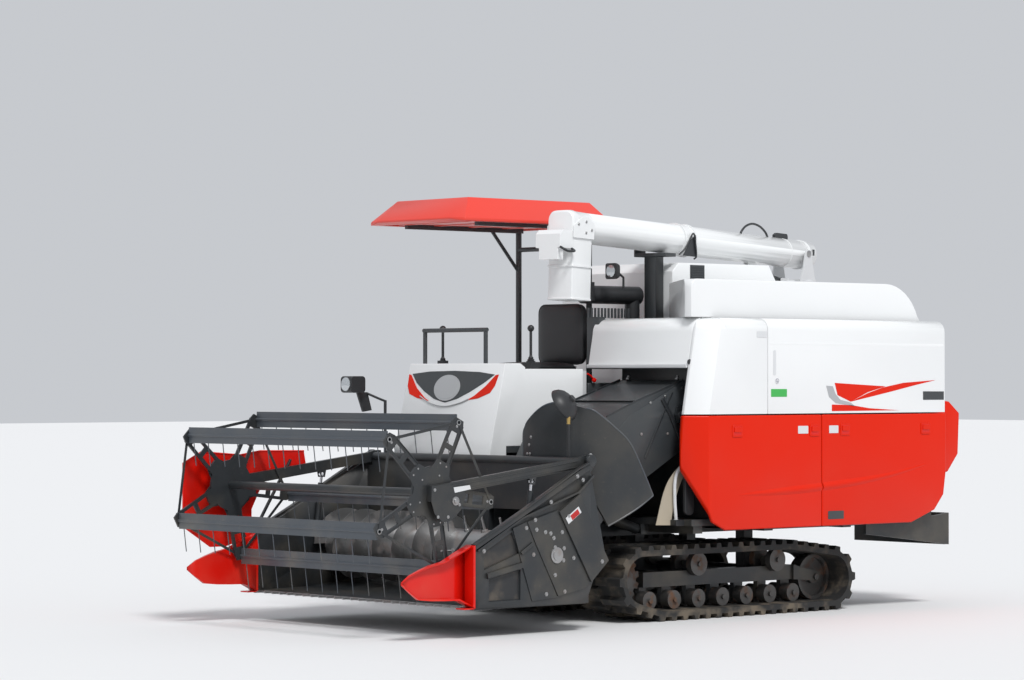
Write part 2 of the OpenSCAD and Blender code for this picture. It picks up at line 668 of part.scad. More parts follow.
module header_side() {
    difference() {
        union() {
            side_plate([[1998, header_floor_z - 20], [1998, 548], [1078, 1008], [1052, 960], [927, 440],
                [1022, 330], [1092, header_floor_z - 20]], [side_in, side_out]);
            cross_bar(arm_pivot, 36, [side_in, side_out]);
        }
        side_plate([[1909, 402], [1909, 506], [1689, 619], [1628, 493]], [side_in + 12, side_out + 1]);
        side_plate([[1870, 352], [1870, 215], [1622, 215], [1622, 395]], [side_in + 12, side_out + 1]);
        cross_bar([auger_x, auger_z], shaft_r + seat_gap, [side_in - 1, side_out + 1]);
    }
    side_plate([[1998, 520], [1998, 556], [1082, 1016], [1062, 985]], [side_out, side_out + 22]);
    side_plate([[1032, 330], [1312, 250], [1442, 420], [1172, 760]], [side_out, side_out + 10]);
}
module header_sides() { color("#303436") from_middle() both() header_side(); }
module header_pins() {
    color("#6d7173") from_middle() both() {
        cross_bar(arm_pivot, arm_pin_r, [arm_y[0] - 4, side_in]);
        cross_bar(reel_ram[0], reel_ram_size[2], [arm_y[0] + 3, side_in]);
    }
}
module divider() {
    hull() {
        box([1998, 2012], [side_in - 26, side_out + 30], [header_floor_z - 5, 552]);
        box([2332, 2343], [side_in - 10, side_out + 20], [header_floor_z + 4, 400]);
        box([2502, 2529], [side_in + 4, side_in + 14], [335, 352]);
    }
}
module dividers() { color("#c8150d") from_middle() both() divider(); }
module cutter_bar() {
    color("#8a8f92") from_middle() {
        box([floor_front_x, floor_front_x + 16], [-side_in, side_in], [header_floor_z - 18, header_floor_z - 2]);
        for (i = [0:25])
            translate([floor_front_x + 16, -side_in + 45 + i * (header_w - 100) / 25, 0])
                top_plate([[0, -12], [50, -3], [50, 3], [0, 12]], [header_floor_z - 16, header_floor_z - 4]);
    }
}
module crop_shield() {
    color("#34383a") from_middle() box([960, header_rear_x - 24], [440, 470], [925, 995]);
    color("#34383a") from_middle() intersection() {
        translate([480, 470, 0]) difference() {
            translate([0, 0, 600]) cylinder(h = 820, r = 515);
            translate([0, 0, 590]) cylinder(h = 840, r = 503);
            box([-600, 600], [-600, -100], [580, 1450]);
            box([-600, -30], [-600, 600], [580, 1450]);
        }
        side_plate([[1200, 1010], [1200, 1370], [1000, 1400], [820, 1327], [626, 1129], [450, 800],
            [757, 622], [885, 905], [1010, 905]], [360, 1000]);
        front_plate([[369, 600], [369, 1173], [392, 1230], [430, 1275], [520, 1340], [610, 1379],
            [760, 1400], [1000, 1410], [1000, 600]], [400, 1100]);
    }
}
// Two lamps on the header's rear bar, the left one turned down towards the auger
module work_lamps() {
    color("#1d1f20") from_middle() {
        for (y = [-880, 880])
            bar([header_rear_x - 2, y, 1050], [header_rear_x - 2, y, y > 0 ? 1363 : 1390], 10);
        translate([header_rear_x - 5, 866, 1378]) rotate([0, 124, -67]) cylinder(h = 70, r1 = 60, r2 = 100);
        bar([header_rear_x - 2, -880, 1380], [1215, -1000, 1476], 8);
        translate([1205, -1005, 1476]) rotate([0, 88, 0]) cylinder(h = 60, r1 = 45, r2 = 80);
    }
}

// Header auger: drum, two screw flights towards the feeder and fingers between them
module header_auger() {
    color("#7d8285") from_middle() {
        cross_bar([auger_x, auger_z], drum_r, [-side_in + 30, side_in - 30]);
        for (i = [0:11])
            cross_bar([auger_x, auger_z], flight_r, [-side_in + 60 + i * 90, -side_in + 66 + i * 90]);
        for (i = [0:1])
            cross_bar([auger_x, auger_z], flight_r, [side_in - 66 - i * 90, side_in - 60 - i * 90]);
        cross_bar([auger_x, auger_z], shaft_r, [-side_in - 14, side_in + 14]);
    }
}

// Reel: shaft and three star plates, slats with hanging tines
reel_half = side_in - 45;
reel_shaft_r = 25;
slat_pin_r = 11;
arm_pin_r = 14;
reel_ram = [[1530, 560], [1490, 915]];
reel_c = [2240, 861];
arm_pivot = [1040, 1030];
function slat_angle(i) = 44 + 360 / slat_n * i;
function slat_at(i) = [reel_c[0] + reel_r * cos(slat_angle(i)), reel_c[1] + reel_r * sin(slat_angle(i))];
module reel_star(y) {
    translate([reel_c[0], y + 12, reel_c[1]]) rotate([90, 0, 0]) linear_extrude(12) difference() {
        union() {
            circle(r = 158);
            for (i = [0:slat_n - 1])
                rotate(slat_angle(i))
                    polygon([[100, -54], [reel_r - 10, -46], [reel_r + 22, -34], [reel_r + 22, 34],
                        [reel_r - 10, 46], [100, 54]]);
        }
        for (i = [0:slat_n - 1])
            rotate(slat_angle(i)) {
                translate([reel_r, 0]) circle(r = slat_pin_r + seat_gap);
                for (a = [198, 312])
                    polygon([[a, -30], [a + 84, -27], [a + 84, 27], [a, 30]]);
            }
    }
}
module reel_frame() {
    color("#33383b") from_middle() {
        cross_bar(reel_c, reel_shaft_r, [-arm_y[1] - 4, arm_y[1] + 4]);
        both() reel_star(reel_half - 18);
    }
}
// One slat with its tines. It turns against the reel, so its tines always hang down
module reel_slat(i) {
    p = slat_at(i);
    color("#464d53") from_middle() {
        cross_bar(p, slat_pin_r, [-reel_half, reel_half]);
        box([p[0] - 5, p[0] + 5], [-reel_half + 23, reel_half - 23], [p[1] - slat_h / 2, p[1] + slat_h / 2]);
        for (k = [0:floor((2 * reel_half - 140) / tine_pitch)])
            let (y = -reel_half + 70 + k * tine_pitch)
                bar([p[0], y, p[1] - slat_h / 2 + 1], [p[0] - 18, y, p[1] - slat_h / 2 - tine_len], 3);
    }
}
arm_y = [side_in - 40, side_in - 8];
module reel_arms() {
    color("#303436") from_middle() {
        both() difference() {
            union() {
                side_plate([[2290, 812], [2290, 905], [2200, 912], [1117, 1047], [1060, 1062], [1010, 1062],
                    [1000, 1000], [1040, 992], [2160, 850], [2190, 812]], arm_y);
                for (y = [[arm_y[0], arm_y[0] + 6], [arm_y[1] - 6, arm_y[1]]])
                    side_plate([[1462, 950], [1474, 895], [1506, 895], [1518, 944]], y);
            }
            cross_bar(arm_pivot, arm_pin_r + seat_gap, [0, side_out]);
            cross_bar(reel_c, reel_shaft_r + seat_gap, [0, side_out]);
            cross_bar(reel_ram[1], 14, [0, side_out]);
        }
    }
}

// Unloading auger
module auger_turret() {
    color("#e4e6e6") from_middle() translate([tower_x, tower_y, 0]) rotate([0, 0, park_turn]) {
        translate([0, 0, turret_z + seat_gap]) cylinder(h = 60, r = tower_r + 30);
        for (s = [-1, 1])
            difference() {
                side_plate([[-90, turret_z + 40], [110, turret_z + 40], [80, tube_pivot_z + 40], [-60, tube_pivot_z + 40],
                    [-90, tube_pivot_z]],
                    s > 0 ? [tube_r + 16, tube_r + 32] : [-tube_r - 32, -tube_r - 16]);
                cross_bar([0, tube_pivot_z], 18 + seat_gap, [-tube_r - 40, tube_r + 40]);
            }
        box([-90, 110], [-tube_r - 32, tube_r + 32], [turret_z + 40, turret_z + 65]);
        for (y = [-34, 26])
            side_plate([[100, turret_z + 30], [202, turret_z + 30], [202, turret_z + 72],
                [100, turret_z + 72]], [y, y + 8]);
        cross_bar(auger_ram[0], auger_ram_size[2], [-34, 34]);
    }
}
module auger_tube() {
    color("#eceded") from_middle() translate([tower_x, tower_y, tube_pivot_z]) rotate([0, 0, park_turn]) {
        rotate([0, -tube_rise, 0]) {
            rotate([0, 90, 0]) translate([0, 0, -150]) cylinder(h = tube_len - 72, r = tube_r);
        }
        cross_bar([0, 0], 18, [-tube_r - 31, tube_r + 31]);
        for (y = [-22, 14])
            difference() {
                side_plate([[490, -50], [520, -154], [562, -154], [600, -50]], [y, y + 8]);
                cross_bar([auger_ram[1][0], auger_ram[1][1] - tube_pivot_z], auger_ram_size[2],
                    [y - 1, y + 9]);
            }
    }
}
module auger_spout() {
    color("#eceded") from_middle() translate([tower_x, tower_y, tube_pivot_z]) rotate([0, 0, park_turn])
        rotate([0, -tube_rise, 0]) difference() {
            union() {
                box([tube_len - 222, tube_len + 6], [-108, 108], [-75, 112]);
                box([tube_len - 210, tube_len - 6], [-98, 98], [-474, -60]);
                side_plate([[tube_len - 10, -25], [tube_len + 110, -25], [tube_len + 140, -60],
                    [tube_len + 140, -229], [tube_len - 10, -229]], [-102, 102]);
            }
            box([tube_len - 198, tube_len - 18], [-86, 86], [-475, 92]);
            box([tube_len + 4, tube_len + 128], [-90, 90], [-230, -72]);
        }
}
// Hydraulic rams, each drawn from its base pin towards its rod's eye.
// Sizes as [barrel radius, rod radius, pin radius, barrel length, rod's inner end,
// width of the barrel's eye, width of the rod's eye]
header_ram_size = [32, 18, 12, 408, 97, 64, 30];
reel_ram_size = [18, 9, 10, 300, 60, 16, 16];
auger_ram_size = [22, 12, 10, 300, 45, 44, 24];
module on_ram(ram, y) {
    d = ram[1] - ram[0];
    translate([ram[0][0], y, ram[0][1]]) rotate([0, -atan2(d[1], d[0]), 0]) children();
}
module ram_eye(r, bore, w) {
    rotate([90, 0, 0]) translate([0, 0, -w / 2]) difference() {
        cylinder(h = w, r = r);
        translate([0, 0, -1]) cylinder(h = w + 2, r = bore);
    }
}
module ram_barrel(size) {
    ram_eye(size[2] + 10, size[2] + seat_gap, size[5]);
    rotate([0, 90, 0]) difference() {
        union() {
            translate([0, 0, size[2] + 6]) cylinder(h = 30, r = min(14, size[0] - 4));
            translate([0, 0, size[2] + 14]) cylinder(h = size[3] - size[2] - 14, r = size[0]);
        }
        translate([0, 0, size[2] + 20]) cylinder(h = size[3], r = size[1] + seat_gap);
    }
}
module ram_rod(ram, size) {
    reach = norm(ram[1] - ram[0]);
    rotate([0, 90, 0]) translate([0, 0, size[4]]) cylinder(h = reach - size[4] - size[2] - 4, r = size[1]);
    translate([reach, 0, 0]) ram_eye(size[2] + 8, size[2] + seat_gap, size[6]);
}
auger_ram = [[180, turret_z + 55], [540, turret_z + 115]];
module on_turret() {
    translate([tower_x, tower_y, 0]) rotate([0, 0, park_turn]) children();
}
ram_side = (arm_y[0] + arm_y[1]) / 2;
module header_barrel() { color("#33383b") from_middle() on_ram(header_ram, ram_y) ram_barrel(header_ram_size); }
module header_rod() { color("#c9cdd0") from_middle() on_ram(header_ram, ram_y) ram_rod(header_ram, header_ram_size); }
module reel_barrels() { color("#33383b") from_middle() both() on_ram(reel_ram, ram_side) ram_barrel(reel_ram_size); }
module reel_rods() { color("#c9cdd0") from_middle() both() on_ram(reel_ram, ram_side) ram_rod(reel_ram, reel_ram_size); }
module auger_barrel() { color("#33383b") from_middle() on_turret() on_ram(auger_ram, 0) ram_barrel(auger_ram_size); }
module auger_rod() { color("#c9cdd0") from_middle() on_turret() on_ram(auger_ram, 0) ram_rod(auger_ram, auger_ram_size); }

chassis_frame();
deck_beams();
main_deck();
axle_beams();
transmission();
header_ram_mount();
track(1);  // track_left
track(-1);  // track_right
track_frame(1);  // track_frame_left
track_frame(-1);  // track_frame_right
running_gear(1);  // running_gear_left
running_gear(-1);  // running_gear_right
thresher_body();
thresher_hump();
upper_cover_front();
side_door();
lower_cover_front();
lower_cover_rear();
rear_cover();
rear_skirt();
front_hood();
grain_tank();
engine_block();
engine_cover();
radiator_screen();
operator_floor();
console();
seat();
handrail();
control_levers();
canopy();
canopy_frame();
air_intake();
auger_holder();
auger_tower();
feeder_house();
header_frame();
header_sides();
header_pins();
dividers();
cutter_bar();
crop_shield();
work_lamps();
header_auger();
reel_arms();
reel_frame();
reel_slat(0);  // reel_slat_1
reel_slat(1);  // reel_slat_2
reel_slat(2);  // reel_slat_3
reel_slat(3);  // reel_slat_4
reel_slat(4);  // reel_slat_5
auger_turret();
auger_tube();
auger_spout();
header_barrel();
header_rod();
reel_barrels();
reel_rods();
auger_barrel();
auger_rod();
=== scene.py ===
# %% [markdown]
# # A tracked rice combine harvester
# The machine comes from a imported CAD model, whose pieces are the fixed frame of this scene. The
# cells below give each piece its paint, rubber or bare steel, soften its folded edges, and add the
# fittings that CAD leaves out: latches, seams, spiral flights, ties, pipes and lamps.

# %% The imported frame
import json
import math

import bmesh
import bpy
import numpy as np
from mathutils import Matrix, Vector


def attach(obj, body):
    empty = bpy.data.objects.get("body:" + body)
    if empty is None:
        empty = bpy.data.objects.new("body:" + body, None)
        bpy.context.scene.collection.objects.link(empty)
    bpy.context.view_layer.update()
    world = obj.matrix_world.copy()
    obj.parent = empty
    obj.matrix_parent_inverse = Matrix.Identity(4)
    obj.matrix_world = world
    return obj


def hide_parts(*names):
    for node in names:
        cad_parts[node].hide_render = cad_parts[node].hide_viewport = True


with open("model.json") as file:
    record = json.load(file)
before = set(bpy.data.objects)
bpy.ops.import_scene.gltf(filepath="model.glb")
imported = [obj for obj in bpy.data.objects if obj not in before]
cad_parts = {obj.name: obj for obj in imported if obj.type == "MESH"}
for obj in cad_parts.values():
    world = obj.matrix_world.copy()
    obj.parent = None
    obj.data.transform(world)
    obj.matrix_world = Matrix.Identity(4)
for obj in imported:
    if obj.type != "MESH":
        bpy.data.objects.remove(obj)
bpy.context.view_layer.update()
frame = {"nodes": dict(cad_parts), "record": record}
cad = frame["nodes"]

# %% [markdown]
# ## The camera
# The photograph was taken with a long lens from the machine's front left, at the height of a
# person's eyes. Its place was solved from the machine's straight edges. A long lens keeps the far
# end of the header almost as large as the near end.

# %% Camera
focal_px, photo_px, sensor_mm = 3275.0949, 1024, 36.0
turn, rise = 0.8454, 0.0119
ahead = Vector((-math.cos(turn) * math.cos(rise), -math.sin(turn) * math.cos(rise), math.sin(rise)))
lens = bpy.data.cameras.new("photographer")
lens.sensor_width = sensor_mm
lens.lens = focal_px * sensor_mm / photo_px
lens.clip_end = 200
camera = bpy.data.objects.new("photographer", lens)
bpy.context.scene.collection.objects.link(camera)
camera.location = (14.4867, 15.5855, 1.5256)
camera.rotation_euler = ahead.to_track_quat("-Z", "Y").to_euler()
bpy.context.scene.camera = camera
bpy.context.scene.view_settings.view_transform = "Standard"

# %% [markdown]
# ## Shader maths as plain expressions
# A dirt mask is a formula: height above the ground, times a noise. The small class below wraps a
# node's output, so that such a formula can be written in Python and becomes Math nodes.

# %% Operators on sockets
class Value:
    """One output socket. Arithmetic on it adds Math nodes to the same finish."""

    def __init__(self, finish, socket):
        self.finish, self.socket = finish, socket

    def maths(self, operation, *terms):
        links = {f"_{i}": term for i, term in enumerate(terms)}
        return self.finish.node("ShaderNodeMath", {"operation": operation}, **links)

    def __add__(self, other): return self.maths("ADD", self, other)
    def __rsub__(self, other): return self.maths("SUBTRACT", other, self)
    def __mul__(self, other): return self.maths("MULTIPLY", self, other)

    def between(self, low, high):
        """0 below low and 1 above high, with a soft step between them. low may be the larger."""
        return self.finish.node("ShaderNodeMapRange", {"interpolation_type": "SMOOTHSTEP"},
                                Value=self, From_Min=low, From_Max=high)


class Finish:
    """A material with one Principled shader, and short calls for the nodes that feed it."""

    def __init__(self, name, colour, rough, metal=0.0, coat=0.0):
        self.made = bpy.data.materials.new(name)
        self.made.use_nodes = True
        self.made.diffuse_color = (*colour, 1)
        self.tree = self.made.node_tree
        self.shader = self.tree.nodes["Principled BSDF"]
        self.set(Base_Color=(*colour, 1), Roughness=rough, Metallic=metal, Coat_Weight=coat,
                 Coat_Roughness=0.1)

    def set(self, **inputs):
        for key, value in inputs.items():
            self.plug(self.shader.inputs[key.replace("_", " ")], value)

    def plug(self, socket, value):
        if isinstance(value, Value):
            self.tree.links.new(value.socket, socket)
        else:
            socket.default_value = value

    def node(self, kind, settings=None, output=0, **links):
        made = self.tree.nodes.new(kind)
        for key, value in (settings or {}).items():
            setattr(made, key, value)
        for key, value in links.items():
            at = int(key[1:]) if key[0] == "_" else key.replace("_", " ")
            self.plug(made.inputs[at], value)
        return Value(self, made.outputs[output])

    def place(self):
        """The point's place on the machine, in metres."""
        return self.node("ShaderNodeTexCoord", output=3)

    def height(self):
        return self.node("ShaderNodeSeparateXYZ", output=2, Vector=self.place())

    def noise(self, size, detail, stretch=(1, 1, 1)):
        """Cloudy noise whose blobs are about size metres across."""
        where = self.node("ShaderNodeMapping", Vector=self.place(), Scale=stretch)
        return self.node("ShaderNodeTexNoise", Vector=where, Scale=1 / size, Detail=detail)

    def mix(self, factor, first, second):
        """The first colour where the factor is 0, the second where it is 1."""
        links = {"_0": factor, "_6": first, "_7": second}
        return self.node("ShaderNodeMix", {"data_type": "RGBA"}, output=2, **links)

    def bump(self, value, strength, depth):
        return self.node("ShaderNodeBump", Height=value, Strength=strength, Distance=depth)

# %% [markdown]
# ## Paint, and the field's dust on it
# Every painted piece of a harvester carries a little dust, more of it lower down, and pale mud
# where the tracks throw it. One function gives each paint its colour, gloss and share of dust, so
# that all pieces age in the same way.

# %% Painted sheet steel
straw_dust = (0.42, 0.34, 0.22)
dry_mud = (0.30, 0.24, 0.17)
rust_brown = (0.16, 0.07, 0.03)


def paint(name, colour, rough, coat=0.0, dust=0.3, orange_peel=0.0, shine=0.5):
    """Paint with cloudy dust: dust grows from head height down to the ground."""
    f = Finish(name, colour, rough, coat=coat)
    f.set(Specular_IOR_Level=shine)
    cloud = f.noise(0.35, 4.0)
    speck = f.noise(0.02, 2.0)
    low = f.height().between(1.6, 0.1)
    film = (cloud.between(0.42, 0.8) * (low * 0.8 + 0.12) + speck.between(0.62, 0.8) * 0.25) * dust
    base = f.mix(cloud * 0.10, (*colour, 1), (*[c * 0.82 for c in colour], 1))
    f.set(Base_Color=f.mix(film, base, (*straw_dust, 1)), Roughness=film * 0.4 + rough)
    if orange_peel:
        f.set(Normal=f.bump(f.noise(0.008, 1.0), orange_peel, 0.0006))
    return f.made


white = paint("gloss white paint", (0.84, 0.85, 0.85), 0.22, coat=0.5, dust=0.10, orange_peel=0.05)
pale = paint("light grey paint", (0.66, 0.67, 0.68), 0.38, coat=0.2, dust=0.2)
red = paint("orange red paint", (0.70, 0.016, 0.001), 0.28, coat=0.03, dust=0.03, orange_peel=0.05,
            shine=0.18)
deep_red = paint("bright red paint", (0.68, 0.008, 0.003), 0.30, coat=0.15, dust=0.12, shine=0.3)
canopy_red = paint("moulded red roof", (0.78, 0.050, 0.030), 0.38, coat=0.1, dust=0.2)
black = paint("satin black paint", (0.021, 0.024, 0.027), 0.40, coat=0.1, dust=0.20)
dark = paint("dark grey paint", (0.042, 0.047, 0.051), 0.42, coat=0.1, dust=0.18)
slate = paint("blue grey paint", (0.055, 0.066, 0.080), 0.36, coat=0.15, dust=0.3)
straw_grey = paint("dusty sheet", (0.42, 0.37, 0.29), 0.5, dust=0.5)
silver = paint("silver film", (0.40, 0.41, 0.42), 0.3, coat=0.2, dust=0.15)

# %% [markdown]
# ## Rubber, bare steel and the rest
# The belt is moulded rubber, dull and pale with dry mud. The auger's flights are worn to bright
# steel by the crop. The seat is black vinyl, and the air intake and lamp shells are plastic.

# %% Rubber and plastics
def mouldings(name, colour, rough, grain, dust):
    """Rubber or plastic with a fine grain, and mud that thickens towards the ground."""
    f = Finish(name, colour, rough)
    mud = f.noise(0.12, 5.0).between(0.42, 0.7) * f.height().between(0.9, 0.0) * dust
    f.set(Base_Color=f.mix(mud, (*colour, 1), (*dry_mud, 1)), Roughness=mud * 0.3 + rough,
          Normal=f.bump(f.noise(grain, 2.0), 0.25, 0.001))
    return f.made


rubber = mouldings("track rubber", (0.018, 0.018, 0.018), 0.72, 0.01, 0.45)
plastic = mouldings("black plastic", (0.020, 0.021, 0.023), 0.45, 0.004, 0.3)
vinyl = mouldings("black vinyl", (0.022, 0.022, 0.024), 0.5, 0.003, 0.1)


def bare_metal(name, colour, rough, rust):
    """Steel with fine drawn scratches and patches of rust."""
    f = Finish(name, colour, rough, metal=1.0)
    scratch = f.noise(0.01, 2.0, stretch=(1, 8, 1))
    patch = f.noise(0.08, 4.0).between(0.5, 0.72) * rust
    f.set(Base_Color=f.mix(patch, (*colour, 1), (*rust_brown, 1)), Metallic=1.0 - patch * 0.9,
          Roughness=scratch * 0.2 + patch * 0.4 + rough)
    return f.made


steel = bare_metal("worn steel", (0.42, 0.42, 0.42), 0.30, 0.35)
cast = bare_metal("muddy cast iron", (0.16, 0.155, 0.15), 0.5, 0.8)
chrome = bare_metal("chromed rod", (0.80, 0.80, 0.82), 0.08, 0.0)
brass = bare_metal("yellow plated steel", (0.55, 0.38, 0.14), 0.3, 0.1)
glass = Finish("lamp glass", (0.55, 0.58, 0.60), 0.06, metal=0.6, coat=1.0).made
lens_red = mouldings("red reflector", (0.45, 0.012, 0.010), 0.15, 0.004, 0.15)
green = mouldings("green label", (0.05, 0.42, 0.08), 0.4, 0.01, 0.1)

# %% [markdown]
# ## Softened sheet metal
# Folded and moulded covers have rounded edges, and it is the edge that catches the light. A copy
# of each CAD piece is merged into one skin, and a bevel rounds its corners. The copy then stands
# for the CAD piece, which stays as it is for the simulation.

# %% Copies with rounded edges
def link(name, mesh, finish, body):
    """A new piece of the scene in one finish, carried by the body."""
    piece = bpy.data.objects.new(name, mesh)
    bpy.context.scene.collection.objects.link(piece)
    mesh.materials.clear()
    mesh.materials.append(finish)
    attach(piece, body)
    return piece


record = frame["record"]
bodies = record["behaviour"]["bodies"]
body_of_node = {node: body for body, nodes in bodies.items() for node in nodes}
slot_of_node = {part["node"]: part["material_slot"] for part in record["subparts"]}


def stands_for(piece, node):
    """The piece is shown for the CAD node, which is hidden."""
    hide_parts(node)


def round_edges(piece, width, segments=2):
    """A bevel on the edges that turn by more than 28 degrees, with smooth shading across it."""
    bevel = piece.modifiers.new("rounded edges", "BEVEL")
    bevel.width, bevel.segments, bevel.limit_method = width, segments, "ANGLE"
    bevel.angle_limit = math.radians(28)
    bevel.harden_normals = True
    for face in piece.data.polygons:
        face.use_smooth = True


def soften(node, finish, width, segments=2):
    """A merged copy of a CAD node's skin, its flat faces made whole again, with rounded edges."""
    mesh = cad[node].data.copy()
    mesh.name = f"{node}_skin"
    skin = bmesh.new()
    skin.from_mesh(mesh)
    bmesh.ops.remove_doubles(skin, verts=skin.verts, dist=0.00002)
    bmesh.ops.dissolve_limit(skin, angle_limit=math.radians(0.5), verts=skin.verts,
                             edges=skin.edges)
    skin.to_mesh(mesh)
    skin.free()
    piece = link(f"{node}_skin", mesh, finish, body_of_node[node])
    round_edges(piece, width, segments)
    stands_for(piece, node)


softened = {
    "thresher_hump": (white, 0.022, 3), "front_hood": (white, 0.012, 3),
    "side_door": (white, 0.008, 2), "upper_cover_front": (white, 0.008, 2),
    "lower_cover_front": (red, 0.010, 3), "lower_cover_rear": (red, 0.010, 3),
    "rear_cover": (red, 0.018, 3), "console": (white, 0.025, 3), "canopy": (canopy_red, 0.006, 2),
    "grain_tank": (white, 0.012, 2), "header_sides": (black, 0.003, 1),
    "engine_cover": (dark, 0.008, 2), "auger_tube": (white, 0.003, 1),
    "auger_holder": (dark, 0.004, 1), "feeder_house": (dark, 0.004, 1),
}
for node, (finish, width, segments) in softened.items():
    soften(node, finish, width, segments)
print(len(softened), "softened covers")

# %% [markdown]
# ## Finishes of the CAD pieces that stay
# Frames, rams, rollers and belts are right as the CAD model has them, and get a finish alone.

# %% Finishes by slot
finish_of_slot = {
    "white": white, "pale_grey": pale, "red": red, "deep_red": deep_red, "canopy_red": canopy_red,
    "black_metal": black, "dark_grey": dark, "blue_grey": slate, "rubber": rubber, "cast": cast,
    "black_plastic": plastic, "vinyl": vinyl, "chrome": chrome, "steel": steel,
}
for node, piece in cad.items():
    piece.data.materials.clear()
    piece.data.materials.append(finish_of_slot[slot_of_node[node]])

# %% [markdown]
# ## Surfaces as whole arrays
# Everything that is added below is a surface over two parameters: a closed profile P(v) carried
# along a path C(u), with a side vector S(u) and an upward vector T(u), so that
# X(u, v) = C(u) + Px(v) S(u) + Py(v) T(u). A plate is such a surface with two stations, and a
# turned piece is a profile whose path is a circle. Lengths here are the drawing's millimetres,
# whose origin is 80 mm behind the frame's.

# %% Profiles
X, Y, Z = np.eye(3)
frame_origin = 80 * X


def circle(r, n=16):
    """P(v) = (r cos v, r sin v)."""
    v = np.arange(n) * 2 * np.pi / n
    return np.stack([r * np.cos(v), r * np.sin(v)], 1)


def rounded(w, h, r=2.0, n=3):
    """A w by h rectangle, P(v) = (+-(w/2 - r), +-(h/2 - r)) + r (cos v, sin v)."""
    quarter = np.repeat(np.arange(4), n + 1)
    v = (quarter + np.tile(np.linspace(0, 1, n + 1), 4)) * np.pi / 2
    corner = np.array([[1, 1], [-1, 1], [-1, -1], [1, -1]])[quarter] * [w / 2 - r, h / 2 - r]
    return corner + r * np.stack([np.cos(v), np.sin(v)], 1)


def unit(vectors):
    return vectors / np.linalg.norm(vectors, axis=-1, keepdims=True)


# %% Paths and surfaces
def curve(points, n=10):
    """Catmull-Rom: q(t) = (2b + (c-a)t + (2a-5b+4c-d)t^2 + (3b-a-3c+d)t^3) / 2 on each span."""
    p = np.asarray(points, float)
    p = np.vstack([2 * p[0] - p[1], p, 2 * p[-1] - p[-2]])
    t = np.linspace(0, 1, n, endpoint=False)[None, :, None]
    a, b, c, d = (p[i:len(p) - 3 + i, None] for i in range(4))
    q = (2 * b + (c - a) * t + (2 * a - 5 * b + 4 * c - d) * t**2
         + (3 * b - a - 3 * c + d) * t**3) / 2
    return np.vstack([q.reshape(-1, p.shape[1]), p[-2:-1]])


def carried(path, profile, up=Z):
    """X(u, v) = C(u) + Px(v) S(u) + Py(v) T(u), with the units S of up x C' and T of C' x S."""
    path = np.asarray(path, float)
    ahead = unit(np.gradient(path, axis=0))
    side = unit(np.cross(up, ahead))
    top = np.cross(ahead, side)
    profile = np.broadcast_to(profile, (len(path), *np.shape(profile)[-2:]))
    return path[:, None] + profile[..., :1] * side[:, None] + profile[..., 1:] * top[:, None]


def turned(profile, centre, axis, n=28):
    """X(u, v) = C + h(u) A + r(u) (cos v B + sin v D), for a profile of [r, h] about the axis A."""
    r, h = np.asarray(profile, float).T
    axis = unit(np.asarray(axis, float))
    b = unit(np.cross(axis, Z if abs(axis[2]) < 0.9 else X))
    v = np.arange(n)[:, None] * 2 * np.pi / n
    around = np.cos(v) * b + np.sin(v) * np.cross(axis, b)
    return np.asarray(centre, float) + h[:, None, None] * axis + r[:, None, None] * around


def plate(outline, depth):
    """X(u, v) = P(v) + u D for u = 0 and 1: a flat plate with that outline, thick as D is long."""
    outline = np.asarray(outline, float)
    return np.stack([outline, outline + depth])


def from_side(outline, y):
    """An outline drawn as [x, z] on the plane at y."""
    x, z = np.asarray(outline, float).T
    return np.stack([x, np.full_like(x, y), z], 1)


def slab(outline, y, thick):
    """A plate whose outline [x, z] is carried from y to y + thick."""
    return plate(from_side(outline, y), thick * Y)


def ring_at(w, d, r, x, y, z):
    """A level w by d rectangle with round corners about (x, y), at the height z."""
    outline = rounded(w, d, r) + [x, y]
    return np.column_stack([outline, np.full(len(outline), float(z))])


def pipe(points, r, n, steps=6, up=Y):
    """A round pipe with n sides along a curve through the points."""
    return carried(curve(points, steps), circle(r, n), up=up)


def spread(surface, offsets):
    """X_i(u, v) = X(u, v) + O_i, one copy for each offset."""
    return surface[None] + np.asarray(offsets, float)[:, None, None, :]


